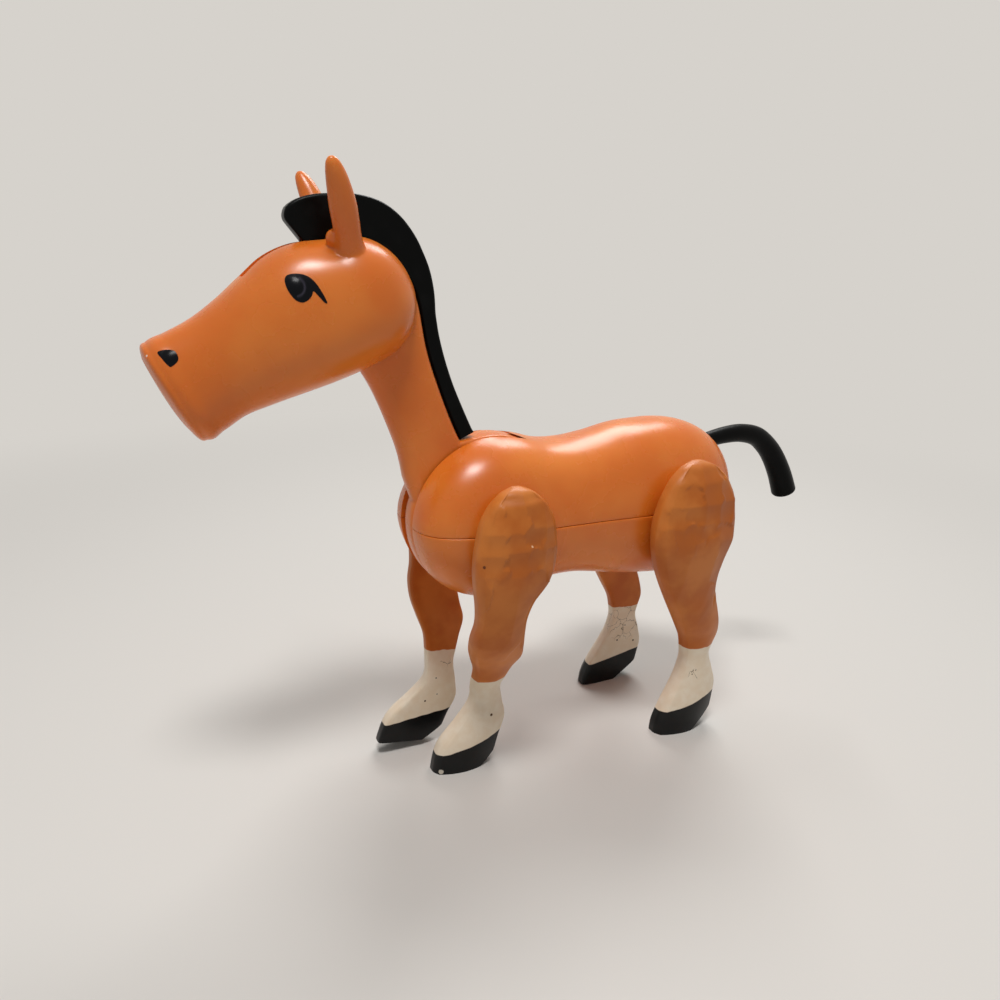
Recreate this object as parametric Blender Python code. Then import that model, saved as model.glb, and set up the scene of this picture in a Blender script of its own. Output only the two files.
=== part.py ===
# Jointed toy horse: two hollow body shells, a neck that swings in a slot between them,
# a nodding two-half head, four swinging legs and a swivelling tail.
# Metres, +Z up, the nose towards -X, the horse's left side towards -Y.

import math

import bmesh
import bpy
import numpy as np
from mathutils import Matrix, Vector

# Stance
AXLE_HEIGHT = 0.0429
AXLE_SPACING = 0.031
FRONT_AXLE_X = -0.00975
RIGHT_FRONT_STEP = math.radians(9.5)
RIGHT_REAR_STEP = math.radians(4.5)

# Running clearances and cutter overrun
GAP = 0.0003
SLOT_CLEARANCE = 0.0003
POCKET_CLEARANCE = 0.0005
OVERRUN = 0.02
REACH = 0.2

# Fineness of round outlines
ARC_STEP = math.radians(8)
POCKET_POINTS = 40
BALL_RINGS = 7
BALL_POINTS = 12
BEVEL_SEGMENTS = 2
SMOOTH_ANGLE = math.radians(38)

# Body shells
BODY_WALL = 0.0015
CHEST_RADIUS = 0.0136
BODY_HALF_WIDTH = 0.0112
RUMP_LENGTH = 0.0160
BODY_HALF_HEIGHT = 0.0137
CHEST_POWER = 4.2
RUMP_POWER = 2.4
SECTION_POWER = 2.15
BODY_SECTION_POINTS = 32
HOLLOW_SECTION_POINTS = 20
CHEST_RINGS = 8
BACK_RINGS = 11
RUMP_RINGS = 8
# Share of the axle spacing, then shares of half height above and below, and of half width
BACK_SHARES = (
    (0.00, 0.990, 0.985, 1.000),
    (0.14, 0.955, 0.920, 0.985),
    (0.29, 0.870, 0.850, 0.970),
    (0.45, 0.855, 0.840, 0.970),
    (0.62, 0.905, 0.900, 0.985),
    (0.80, 0.990, 0.980, 1.010),
    (1.00, 1.020, 1.035, 1.030),
)

# Neck slot and its pin
NECK_THICKNESS = 0.0048
NECK_RIM_CLEARANCE = 0.0003
CHEEK_WALL = 0.0012
PIN_RADIUS = 0.0015
PIN_OVERHANG = 0.0009
PIN_POINTS = 20

# Locating posts that centre the two shells
POST_RADIUS = 0.0014
POST_WALL = 0.0010
POST_DEPTH = 0.0030
POST_SHARES = (0.62, 0.92)

# Neck
NECK_RIM_INSET = 0.0003
NECK_HUB_RADIUS = 0.0095
NECK_RIM_START = math.radians(70)
NECK_RIM_END = math.radians(262)
NECK_REACH = 0.0390
NECK_LEAN = math.radians(32.2)
NECK_TOP_RADIUS = 0.0078
BLADE_TOP_SHARE = 0.70
NECK_EDGE_ROUND = 0.0010
NECK_RIM_JOIN = math.radians(163)
NECK_RIM_MEET = math.radians(102)
NECK_TOP_START = math.radians(256)
NECK_TOP_END = math.radians(40)
NECK_EDGE_POINTS = 10
NAPE_POINTS = 6
# Share of the blade, from the slot's mouth up, then shares of the rim radius to the
# front and to the rear edge
NECK_SHARES = (
    (0.00, 0.590, 0.164),
    (0.20, 0.485, 0.206),
    (0.44, 0.405, 0.274),
    (0.72, 0.340, 0.376),
    (1.00, 0.330, 0.537),
)

# Head
HEAD_TILT = math.radians(26.2)
HEAD_BALL_RADIUS = 0.0086
HEAD_LENGTH = 0.0277
HEAD_WALL = 0.0013
HEAD_POWER = 2.2
HEAD_BALL_RINGS = 7
HEAD_RINGS = 12
HEAD_SECTION_POINTS = 28
HEAD_SLOT_START = math.radians(-118)
HEAD_SLOT_END = math.radians(167)
HEAD_SLOT_REACH = 0.0170
MANE_SLOT_START = math.radians(90)
# Share of the length, then shares of the ball radius above, below and to the side
HEAD_SHARES = (
    (0.00, 1.090, 0.985, 0.980),
    (0.14, 1.235, 0.965, 1.000),
    (0.29, 1.250, 0.915, 0.975),
    (0.44, 1.120, 0.845, 0.890),
    (0.59, 0.985, 0.775, 0.765),
    (0.74, 0.900, 0.725, 0.665),
    (0.86, 0.890, 0.770, 0.635),
    (0.945, 0.890, 0.780, 0.640),
    (0.985, 0.830, 0.650, 0.555),
    (1.00, 0.700, 0.430, 0.400),
)

# Ears
EAR_HEIGHT = 0.0128
EAR_RADIUS = 0.0019
EAR_FLATTEN_SHARE = 0.85
EAR_ROOT_SHARE = 0.90
EAR_BASE_ANGLE = math.radians(103)
EAR_SPREAD = math.radians(36)
EAR_SPLAY = math.radians(25)
EAR_LEAN = math.radians(17)
EAR_POINTS = 14
# Share of the height, then share of the root radius and forward drift share
EAR_SHARES = (
    (-0.20, 1.15, 0.000),
    (0.00, 1.05, 0.000),
    (0.16, 0.97, -0.010),
    (0.38, 0.95, -0.020),
    (0.56, 0.92, -0.022),
    (0.70, 0.82, -0.020),
    (0.82, 0.66, -0.015),
    (0.91, 0.49, -0.008),
    (0.97, 0.32, -0.002),
    (1.00, 0.14, 0.000),
)
LOBE_RADIUS = 0.0012
LOBE_FORWARD = 0.0021
LOBE_RISE = 0.0023

# Mane
MANE_THICKNESS = 0.0026
MANE_WIDTH = 0.0040
MANE_FRONT_ANGLE = math.radians(131)
MANE_EDGE_ROUND = 0.0004
# Share of the way from the front tip to the root, then share of the width
MANE_SHARES = (
    (0.00, 1.575),
    (0.02, 1.720),
    (0.04, 1.740),
    (0.07, 1.670),
    (0.10, 1.580),
    (0.15, 1.530),
    (0.20, 1.480),
    (0.24, 1.360),
    (0.28, 1.200),
    (0.31, 1.090),
    (0.38, 0.890),
    (0.43, 0.740),
    (0.49, 0.600),
    (0.55, 0.575),
    (0.63, 0.583),
    (0.78, 0.570),
    (0.90, 0.610),
    (1.00, 0.625),
)

# Legs: hip boss, stub shaft and push-on retainer
HIP_BOSS_RADIUS = 0.0045
HIP_BOSS_HEIGHT = 0.0003
LEG_SHAFT_RADIUS = 0.0022
LEG_SHAFT_OVERHANG = 0.0006
RETAINER_RADIUS = 0.0040
RETAINER_THICKNESS = 0.0016
HIP_BOSS_DEPTH = 0.0028
LEG_THICKNESS = 0.0044
LEG_SECTION_POINTS = 20
LEG_BULGE_SHARE = 0.62
LEG_OUTER_POWER = 2.3
LEG_INNER_POWER = 8.0
FRONT_THIGH_DEPTH = 0.0064
REAR_THIGH_DEPTH = 0.0074
FRONT_FOOT_OFFSET = 0.0029
REAR_FOOT_OFFSET = 0.0086
HEEL_CHAMFER = math.radians(38)
FRONT_SOLE_END = -0.0032
REAR_SOLE_END = 0.0058
SOCK_TOP_SHARE = 0.385
HOOF_TOP_SHARE = 0.115
# Share of axle height, shift share of axle height, then shares of thigh depth,
# of the way in from hip to foot, and of thickness
FRONT_LEG_SHARES = (
    (1.186, -0.025, 0.10, 0.00, 0.20),
    (1.176, -0.025, 0.30, 0.00, 0.45),
    (1.150, -0.025, 0.56, 0.00, 0.68),
    (1.095, -0.026, 0.84, 0.00, 0.90),
    (1.000, -0.028, 1.01, 0.00, 1.00),
    (0.920, -0.032, 1.04, 0.00, 1.02),
    (0.835, -0.040, 0.94, 0.02, 1.00),
    (0.770, -0.057, 0.75, 0.06, 0.96),
    (0.695, -0.063, 0.66, 0.14, 0.92),
    (0.625, -0.063, 0.70, 0.26, 0.92),
    (0.555, -0.051, 0.71, 0.42, 0.94),
    (0.500, -0.034, 0.68, 0.56, 0.86),
    (0.435, -0.032, 0.51, 0.72, 0.76),
    (0.385, -0.037, 0.44, 0.83, 0.76),
    (0.350, -0.041, 0.40, 0.90, 0.76),
    (0.265, -0.035, 0.45, 0.99, 0.80),
    (0.190, -0.056, 0.69, 1.00, 0.88),
    (0.115, -0.102, 0.84, 1.00, 0.94),
    (0.020, -0.131, 0.85, 1.00, 0.94),
    (-0.060, -0.150, 0.76, 1.00, 0.92),
)
REAR_LEG_SHARES = (
    (1.212, 0.024, 0.10, 0.00, 0.20),
    (1.200, 0.024, 0.32, 0.00, 0.45),
    (1.168, 0.024, 0.60, 0.00, 0.70),
    (1.100, 0.024, 0.89, 0.00, 0.92),
    (0.990, 0.020, 1.09, 0.00, 1.00),
    (0.890, 0.022, 1.09, 0.02, 1.02),
    (0.800, 0.026, 0.94, 0.14, 1.00),
    (0.720, 0.042, 0.79, 0.31, 0.98),
    (0.640, 0.070, 0.68, 0.47, 0.94),
    (0.560, 0.110, 0.63, 0.62, 0.94),
    (0.500, 0.139, 0.59, 0.72, 0.88),
    (0.430, 0.164, 0.51, 0.84, 0.76),
    (0.385, 0.163, 0.43, 0.91, 0.76),
    (0.350, 0.162, 0.38, 0.95, 0.76),
    (0.275, 0.168, 0.48, 1.00, 0.82),
    (0.205, 0.164, 0.64, 1.00, 0.88),
    (0.130, 0.141, 0.74, 1.00, 0.94),
    (0.050, 0.118, 0.80, 1.00, 0.96),
    (-0.060, 0.100, 0.72, 1.00, 0.94),
)

# Tail
TAIL_ROOT_RADIUS = 0.0012
TAIL_END_RADIUS = 0.00235
TAIL_HEIGHT = 0.0089
TAIL_LENGTH = 0.0213
TAIL_DROP = 0.0121
TAIL_SEAT_LENGTH = 0.0032
TAIL_SEAT_RADIUS = 0.0030
TAIL_SWELL_POWER = 0.8
TAIL_HEAD_RADIUS = 0.0020
TAIL_HEAD_LENGTH = 0.0010
TAIL_POINTS = 14
TAIL_RINGS = 12
# Share of the way along the tail, then shares of the length back and of the drop
TAIL_SHARES = (
    (0.00, 0.000, 0.000),
    (0.15, 0.192, -0.052),
    (0.31, 0.394, -0.059),
    (0.45, 0.573, 0.020),
    (0.57, 0.704, 0.188),
    (0.71, 0.817, 0.413),
    (0.85, 0.915, 0.686),
    (1.00, 1.000, 1.000),
)

# Values that follow from those above
SLOT_HALF_WIDTH = NECK_THICKNESS / 2 + SLOT_CLEARANCE
CHEEK_OUTSIDE = SLOT_HALF_WIDTH + CHEEK_WALL
MANE_SLOT_HALF_WIDTH = MANE_THICKNESS / 2 + SLOT_CLEARANCE
HEAD_POCKET_RADIUS = NECK_TOP_RADIUS + POCKET_CLEARANCE
NECK_RIM_RADIUS = BODY_HALF_HEIGHT - NECK_RIM_INSET
NECK_POCKET_RADIUS = NECK_RIM_RADIUS + NECK_RIM_CLEARANCE
BLADE_TOP = NECK_REACH - NECK_TOP_RADIUS * BLADE_TOP_SHARE
BLADE_LENGTH = BLADE_TOP - NECK_POCKET_RADIUS
PIN_HALF_LENGTH = CHEEK_OUTSIDE + PIN_OVERHANG
HIP_FACE = BODY_HALF_WIDTH * BACK_SHARES[-1][3] + HIP_BOSS_HEIGHT
LEG_INSIDE = HIP_FACE + GAP
RETAINER_FACE = HIP_FACE - HIP_BOSS_DEPTH - GAP
SHAFT_END = RETAINER_FACE - RETAINER_THICKNESS - LEG_SHAFT_OVERHANG
FRONT_AXLE = Vector((FRONT_AXLE_X, 0, AXLE_HEIGHT))
REAR_AXLE = FRONT_AXLE + Vector((AXLE_SPACING, 0, 0))
NECK_UP = Vector((-math.sin(NECK_LEAN), 0, math.cos(NECK_LEAN)))
NECK_BACK = Vector((math.cos(NECK_LEAN), 0, math.sin(NECK_LEAN)))
HEAD_PIVOT = FRONT_AXLE + NECK_UP * NECK_REACH
HEAD_ALONG = Vector((-math.cos(HEAD_TILT), 0, -math.sin(HEAD_TILT)))
HEAD_UP = Vector((-math.sin(HEAD_TILT), 0, math.cos(HEAD_TILT)))
SIDE = Vector((0, 1, 0))
HALF_SPACE = Vector((REACH, REACH, REACH))


def clear_scene():
    for item in list(bpy.data.objects):
        bpy.data.objects.remove(item, do_unlink=True)


# Smooth curve through a table whose first column is the position along it
def along(table, position):
    rows = np.array(table)
    steps = rows[:, 0]
    slopes = np.gradient(rows[:, 1:], steps, axis=0)
    i = int(np.clip(np.searchsorted(steps, position) - 1, 0, len(steps) - 2))
    span = steps[i + 1] - steps[i]
    t = (position - steps[i]) / span
    from_start = (1 + 2 * t) * (1 - t) ** 2
    to_end = t * t * (3 - 2 * t)
    leave = t * (1 - t) ** 2 * span
    arrive = t * t * (t - 1) * span
    return (
        from_start * rows[i, 1:]
        + to_end * rows[i + 1, 1:]
        + leave * slopes[i]
        + arrive * slopes[i + 1]
    )


# Points of a rounded outline: how far right, up and down it reaches, and how square it is
def outline(points, side, up, down, power):
    found = []
    for k in range(points):
        angle = 2 * math.pi * (k + 0.5) / points
        c = math.cos(angle)
        s = math.sin(angle)
        across = side * math.copysign(abs(c) ** (2 / power), c)
        height = (up if s > 0 else down) * math.copysign(abs(s) ** (2 / power), s)
        found.append((across, height))
    return found


def mesh_object(name, points, faces):
    mesh = bpy.data.meshes.new(name)
    mesh.from_pydata([tuple(p) for p in points], [], faces)
    made = bpy.data.objects.new(name, mesh)
    bpy.context.scene.collection.objects.link(made)
    return made


def outward(made):
    work = bmesh.new()
    work.from_mesh(made.data)
    bmesh.ops.recalc_face_normals(work, faces=work.faces)
    work.to_mesh(made.data)
    work.free()
    return made


# Skin over a run of rings with equal counts, closed by a flat face at each end
def loft(name, rings):
    count = len(rings[0])
    points = [p for ring in rings for p in ring]
    faces = []
    for r in range(len(rings) - 1):
        for k in range(count):
            nxt = (k + 1) % count
            faces.append(
                (r * count + k, r * count + nxt, (r + 1) * count + nxt, (r + 1) * count + k)
            )
    last = (len(rings) - 1) * count
    faces.append(tuple(reversed(range(count))))
    faces.append(tuple(range(last, last + count)))
    return outward(mesh_object(name, points, faces))


# Flat outline in the centre plane, thickened evenly to both sides
def plate(name, profile, half_thickness):
    rings = [[p + SIDE * s * half_thickness for p in profile] for s in (-1, 1)]
    return loft(name, rings)


def turned(centre, radius, angle):
    return centre + Vector((radius * math.cos(angle), 0, radius * math.sin(angle)))


# Points along an arc, close enough together to look round
def arc(centre, radius, start, end):
    steps = max(2, round(abs(end - start) / ARC_STEP))
    return [turned(centre, radius, start + (end - start) * k / steps) for k in range(steps + 1)]


def rod(name, start, end, radius, points=PIN_POINTS):
    direction = (end - start).normalized()
    first = direction.orthogonal().normalized()
    second = direction.cross(first)
    rings = []
    for centre in (start, end):
        ring = []
        for k in range(points):
            angle = 2 * math.pi * k / points
            ring.append(centre + (first * math.cos(angle) + second * math.sin(angle)) * radius)
        rings.append(ring)
    return loft(name, rings)


def ball(name, centre, radius):
    rings = []
    for k in range(1, BALL_RINGS):
        turn = math.pi * k / BALL_RINGS
        level = centre + Vector((0, 0, radius * math.cos(turn)))
        ring = outline(BALL_POINTS, radius * math.sin(turn), radius * math.sin(turn),
                       radius * math.sin(turn), 2)
        rings.append([level + Vector((x, y, 0)) for x, y in ring])
    return loft(name, rings)


# Joins or cuts, keeps the result on the first object and removes the second
def combine(body, tool, operation):
    step = body.modifiers.new(operation, "BOOLEAN")
    step.operation = operation
    step.object = tool
    step.solver = "EXACT"
    graph = bpy.context.evaluated_depsgraph_get()
    result = bpy.data.meshes.new_from_object(body.evaluated_get(graph))
    body.modifiers.clear()
    body.data = result
    bpy.data.objects.remove(tool, do_unlink=True)
    return body


def copy_of(item, name):
    made = item.copy()
    made.data = item.data.copy()
    made.name = name
    bpy.context.scene.collection.objects.link(made)
    return made


def block(name, low, high):
    xs, ys, zs = zip(low, high)
    rings = []
    for z in zs:
        corners = ((xs[0], ys[0]), (xs[1], ys[0]), (xs[1], ys[1]), (xs[0], ys[1]))
        rings.append([Vector((x, y, z)) for x, y in corners])
    return loft(name, rings)


def bevel_edges(item, width):
    step = item.modifiers.new("Edge rounding", "BEVEL")
    step.width = width
    step.segments = BEVEL_SEGMENTS
    step.limit_method = "ANGLE"
    step.angle_limit = SMOOTH_ANGLE
    graph = bpy.context.evaluated_depsgraph_get()
    result = bpy.data.meshes.new_from_object(item.evaluated_get(graph))
    item.modifiers.clear()
    item.data = result
    return item


# Body: chest as a quarter turn, then the back table, then the rump as a quarter turn
def body_stations(inset):
    stations = []
    high = BODY_HALF_HEIGHT - inset
    low = BODY_HALF_HEIGHT - inset
    wide = BODY_HALF_WIDTH - inset
    for k in range(1, CHEST_RINGS):
        turn = math.pi / 2 * k / CHEST_RINGS
        side = math.sin(turn) ** (2 / CHEST_POWER)
        up, down, across = BACK_SHARES[0][1:]
        rise = math.sin(turn)
        x = (inset - CHEST_RADIUS) * math.cos(turn)
        stations.append((x, high * up * rise, low * down * rise, wide * across * side))
    for k in range(BACK_RINGS + 1):
        share = k / BACK_RINGS
        up, down, across = along(BACK_SHARES, share)
        stations.append((AXLE_SPACING * share, high * up, low * down, wide * across))
    for k in range(1, RUMP_RINGS):
        turn = math.pi / 2 * k / RUMP_RINGS
        fall = math.cos(turn) ** (2 / RUMP_POWER)
        x = AXLE_SPACING + (RUMP_LENGTH - inset) * math.sin(turn) ** (2 / RUMP_POWER)
        stations.append((x, high * up * fall, low * down * fall, wide * across * fall))
    return stations


def body_form(name, inset, points):
    rings = []
    for x, up, down, wide in body_stations(inset):
        section = outline(points, wide, up, down, SECTION_POWER)
        rings.append([FRONT_AXLE + Vector((x, y, z)) for y, z in section])
    return loft(name, rings)


def disc(name, centre, radius, half_thickness, points=POCKET_POINTS):
    return rod(name, centre - SIDE * half_thickness, centre + SIDE * half_thickness, radius, points)


# Everything that the two shells share, before the seam parts them
def body_casing():
    casing = body_form("body", 0, BODY_SECTION_POINTS)
    hollow = body_form("hollow", BODY_WALL, HOLLOW_SECTION_POINTS)
    housing = disc("housing", FRONT_AXLE, NECK_POCKET_RADIUS + CHEEK_WALL, CHEEK_OUTSIDE)
    combine(hollow, housing, "DIFFERENCE")
    combine(casing, hollow, "DIFFERENCE")
    tail_seat = tail_start()
    inner_end = tail_seat - Vector((TAIL_SEAT_LENGTH, 0, 0))
    boss = rod("boss", inner_end, tail_seat + Vector((OVERRUN, 0, 0)), TAIL_SEAT_RADIUS)
    combine(boss, body_form("core", BODY_WALL / 2, BODY_SECTION_POINTS), "INTERSECT")
    combine(casing, boss, "UNION")
    for axle in (FRONT_AXLE, REAR_AXLE):
        for side in (-1, 1):
            inner = axle + SIDE * side * (HIP_FACE - HIP_BOSS_DEPTH)
            outer = axle + SIDE * side * HIP_FACE
            combine(casing, rod("boss", inner, outer, HIP_BOSS_RADIUS), "UNION")
    return casing


def drill_casing(casing):
    combine(casing, disc("pocket", FRONT_AXLE, NECK_POCKET_RADIUS, SLOT_HALF_WIDTH), "DIFFERENCE")
    pin_bore = disc("bore", FRONT_AXLE, PIN_RADIUS + GAP, PIN_HALF_LENGTH + GAP, PIN_POINTS)
    combine(casing, pin_bore, "DIFFERENCE")
    for axle in (FRONT_AXLE, REAR_AXLE):
        for side in (-1, 1):
            inner = axle + SIDE * side * RETAINER_FACE
            outer = axle + SIDE * side * LEG_INSIDE
            combine(casing, rod("bore", inner, outer, LEG_SHAFT_RADIUS + GAP), "DIFFERENCE")
    start = tail_start()
    reach = Vector((OVERRUN, 0, 0))
    combine(casing, rod("bore", start - reach, start + reach, TAIL_ROOT_RADIUS + GAP), "DIFFERENCE")
    seat = start - Vector((TAIL_SEAT_LENGTH, 0, 0))
    recess = rod("recess", seat - reach, seat, TAIL_HEAD_RADIUS + GAP)
    combine(casing, recess, "DIFFERENCE")


def make_body():
    casing = body_casing()
    drill_casing(casing)
    low = FRONT_AXLE - HALF_SPACE
    high = FRONT_AXLE + HALF_SPACE
    seam_top = AXLE_HEIGHT + GAP / 2
    seam_low = AXLE_HEIGHT - GAP / 2
    back = copy_of(casing, "back_shell")
    combine(back, block("above", (low.x, low.y, seam_top), high), "INTERSECT")
    casing.name = "belly_shell"
    combine(casing, block("below", low, (high.x, high.y, seam_low)), "INTERSECT")
    for share in POST_SHARES:
        up, down, across = along(BACK_SHARES, share)
        centre = FRONT_AXLE + Vector((AXLE_SPACING * share, 0, 0))
        floor = centre - Vector((0, 0, BODY_HALF_HEIGHT * down - BODY_WALL / 2))
        crown = centre + Vector((0, 0, BODY_HALF_HEIGHT * up - BODY_WALL / 2))
        top = centre + Vector((0, 0, POST_DEPTH))
        mouth = centre + Vector((0, 0, GAP / 2))
        combine(casing, rod("post", floor, top, POST_RADIUS), "UNION")
        combine(back, rod("socket", mouth, crown, POST_RADIUS + GAP + POST_WALL), "UNION")
        hole_end = top + Vector((0, 0, GAP))
        hole_start = centre - Vector((0, 0, GAP))
        combine(back, rod("hole", hole_start, hole_end, POST_RADIUS + GAP), "DIFFERENCE")
    return back, casing


# Neck: rounded plate with a rim at its foot, a blade and a round top
def neck_point(share, back_share):
    height = NECK_POCKET_RADIUS + BLADE_LENGTH * share
    return FRONT_AXLE + NECK_UP * height + NECK_BACK * NECK_RIM_RADIUS * back_share


def blade_edge(column, sign):
    shares = np.linspace(NECK_SHARES[0][0], NECK_SHARES[-1][0], NECK_EDGE_POINTS)
    return [neck_point(s, sign * along(NECK_SHARES, s)[column]) for s in shares]


# Curve that leaves one edge and meets the next along their own directions
def nape_line(before, leave, arrive, after):
    way_out = leave - before
    way_in = after - arrive
    span = arrive - leave
    turn = way_out.x * way_in.z - way_out.z * way_in.x
    corner = leave + way_out * (span.x * way_in.z - span.z * way_in.x) / turn
    found = []
    for k in range(1, NAPE_POINTS):
        t = k / NAPE_POINTS
        found.append(leave * (1 - t) ** 2 + corner * 2 * t * (1 - t) + arrive * t**2)
    return found


# The edge that carries the mane, from the forelock round the neck's top and down its back
def crest_line():
    round_top = arc(HEAD_PIVOT, NECK_TOP_RADIUS, MANE_FRONT_ANGLE, NECK_TOP_END)
    back_edge = list(reversed(blade_edge(1, 1)))
    return round_top + nape_line(*round_top[-2:], *back_edge[:2]) + back_edge


def make_neck():
    front = blade_edge(0, -1)
    crest = crest_line()
    top_front = arc(HEAD_PIVOT, NECK_TOP_RADIUS, NECK_TOP_START, MANE_FRONT_ANGLE)
    rim_back = arc(FRONT_AXLE, NECK_RIM_RADIUS, NECK_RIM_MEET, NECK_RIM_START)
    hub = arc(FRONT_AXLE, NECK_HUB_RADIUS, NECK_RIM_START, NECK_RIM_END - 2 * math.pi)
    rim_front = arc(FRONT_AXLE, NECK_RIM_RADIUS, NECK_RIM_END, NECK_RIM_JOIN)
    profile = rim_front + front + top_front[:-1] + crest + rim_back + hub
    neck = plate("neck", profile, NECK_THICKNESS / 2)
    bevel_edges(neck, NECK_EDGE_ROUND)
    for pivot in (FRONT_AXLE, HEAD_PIVOT):
        bore = disc("bore", pivot, PIN_RADIUS + GAP, NECK_THICKNESS, PIN_POINTS)
        combine(neck, bore, "DIFFERENCE")
    return neck


def make_pin(name, pivot):
    return disc(name, pivot, PIN_RADIUS, PIN_HALF_LENGTH, PIN_POINTS)


# Mane: a strip that follows the crest line at one clearance, wide over the poll
def make_mane():
    crest = crest_line()
    lengths = [0]
    for a, b in zip(crest, crest[1:]):
        lengths.append(lengths[-1] + (b - a).length)
    inner = []
    outer = []
    for k, point in enumerate(crest):
        before = crest[max(k - 1, 0)]
        after = crest[min(k + 1, len(crest) - 1)]
        tangent = (after - before).normalized()
        away = Vector((-tangent.z, 0, tangent.x))
        share = lengths[k] / lengths[-1]
        width = MANE_WIDTH * along(MANE_SHARES, share)[0]
        inner.append(point + away * GAP)
        outer.append(point + away * (GAP + width))
    mane = plate("mane", inner + list(reversed(outer)), MANE_THICKNESS / 2)
    bevel_edges(mane, MANE_EDGE_ROUND)
    return mane


# Head: a ball that tapers to a square-cut snout, as rings along its own axis
def head_stations(inset):
    stations = []
    ball = HEAD_BALL_RADIUS - inset
    for k in range(1, HEAD_BALL_RINGS):
        turn = math.pi / 2 * k / HEAD_BALL_RINGS
        up, down, across = HEAD_SHARES[0][1:]
        size = ball * math.sin(turn)
        stations.append((-ball * math.cos(turn), size * up, size * down, size * across))
    for k in range(HEAD_RINGS + 1):
        share = math.sin(math.pi / 2 * k / HEAD_RINGS)
        up, down, across = along(HEAD_SHARES, share)
        reach = (HEAD_LENGTH - inset) * share
        grown = [HEAD_BALL_RADIUS * value - inset for value in (up, down, across)]
        stations.append((reach, *grown))
    return stations


def head_form(name, inset, points):
    rings = []
    for reach, up, down, wide in head_stations(inset):
        ring = []
        for y, z in outline(points, wide, up, down, HEAD_POWER):
            ring.append(HEAD_PIVOT + HEAD_ALONG * reach + HEAD_UP * z + SIDE * y)
        rings.append(ring)
    return loft(name, rings)


# Sector about the head's pivot that reaches the outside from start to end, and a pocket elsewhere
def sector(name, start, end, reach, pocket, half_thickness):
    open_side = arc(HEAD_PIVOT, reach, start, end)
    closed_side = arc(HEAD_PIVOT, pocket, end, start + 2 * math.pi)
    return plate(name, open_side + closed_side, half_thickness)


# Walls round the slot: the slot grown by one cheek all round
def slot_housing():
    widen = CHEEK_WALL / NECK_TOP_RADIUS
    start = HEAD_SLOT_START - widen
    end = HEAD_SLOT_END + widen
    reach = HEAD_SLOT_REACH + CHEEK_WALL
    return sector("housing", start, end, reach, HEAD_POCKET_RADIUS + CHEEK_WALL, CHEEK_OUTSIDE)


# The slot is as wide as the neck up to the ears and as wide as the mane in front of them
def cut_head_slot(head):
    neck_part = sector("slot", HEAD_SLOT_START, MANE_SLOT_START, HEAD_SLOT_REACH,
                       HEAD_POCKET_RADIUS, SLOT_HALF_WIDTH)
    combine(head, neck_part, "DIFFERENCE")
    inside = (HEAD_SLOT_START + MANE_SLOT_START) / 2
    mane_part = sector("slot", inside, HEAD_SLOT_END, HEAD_SLOT_REACH, NECK_TOP_RADIUS,
                       MANE_SLOT_HALF_WIDTH)
    combine(head, mane_part, "DIFFERENCE")


def ear_form(side):
    angle = EAR_BASE_ANGLE
    flat = math.cos(EAR_SPREAD)
    out = Vector((math.cos(angle) * flat, side * math.sin(EAR_SPREAD), math.sin(angle) * flat))
    root = HEAD_PIVOT + out * HEAD_BALL_RADIUS * EAR_ROOT_SHARE
    axis = Vector((-math.sin(EAR_LEAN), side * math.sin(EAR_SPLAY), 1)).normalized()
    across = axis.cross(SIDE).normalized()
    sideways = axis.cross(across)
    rings = []
    for height, radius, drift in EAR_SHARES:
        centre = root + axis * EAR_HEIGHT * height + across * EAR_HEIGHT * drift
        ring = []
        for a, b in outline(EAR_POINTS, EAR_RADIUS * radius, EAR_RADIUS * radius,
                            EAR_RADIUS * radius, 2):
            ring.append(centre + across * a + sideways * b * EAR_FLATTEN_SHARE)
        rings.append(ring)
    lobe_centre = root + Vector((-LOBE_FORWARD, 0, LOBE_RISE))
    return loft("ear", rings), ball("lobe", lobe_centre, LOBE_RADIUS)


def make_head():
    head = head_form("head", 0, HEAD_SECTION_POINTS)
    hollow = head_form("hollow", HEAD_WALL, HOLLOW_SECTION_POINTS)
    combine(hollow, slot_housing(), "DIFFERENCE")
    combine(head, hollow, "DIFFERENCE")
    for side in (-1, 1):
        for form in ear_form(side):
            combine(head, form, "UNION")
    cut_head_slot(head)
    bore = disc("bore", HEAD_PIVOT, PIN_RADIUS + GAP, PIN_HALF_LENGTH + GAP, PIN_POINTS)
    combine(head, bore, "DIFFERENCE")
    halves = []
    for name, side in (("head_left_half", -1), ("head_right_half", 1)):
        half = copy_of(head, name)
        low = HEAD_PIVOT - HALF_SPACE
        high = HEAD_PIVOT + HALF_SPACE
        if side < 0:
            high.y = -GAP / 2
        else:
            low.y = GAP / 2
        combine(half, block("side", low, high), "INTERSECT")
        halves.append(half)
    bpy.data.objects.remove(head, do_unlink=True)
    return halves


# Leg: flat inside, domed outside, tapering to a hoof that is cut by the ground
def leg_ring(axle, side, row, thigh_depth, foot_offset):
    height, shift, depth, inward, thick = row
    inner = LEG_INSIDE + (foot_offset - LEG_INSIDE) * inward
    bulge = LEG_THICKNESS * thick * LEG_BULGE_SHARE
    base = LEG_THICKNESS * thick - bulge
    ring = []
    for k in range(LEG_SECTION_POINTS):
        angle = 2 * math.pi * (k + 0.5) / LEG_SECTION_POINTS
        c = math.cos(angle)
        s = math.sin(angle)
        power = LEG_OUTER_POWER if s > 0 else LEG_INNER_POWER
        x = thigh_depth * depth * math.copysign(abs(c) ** (2 / power), c)
        out = (bulge if s > 0 else base) * math.copysign(abs(s) ** (2 / power), s)
        ring.append(
            Vector(
                (
                    axle.x + AXLE_HEIGHT * shift + x,
                    side * (inner + base + out),
                    AXLE_HEIGHT * height,
                )
            )
        )
    return ring


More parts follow.
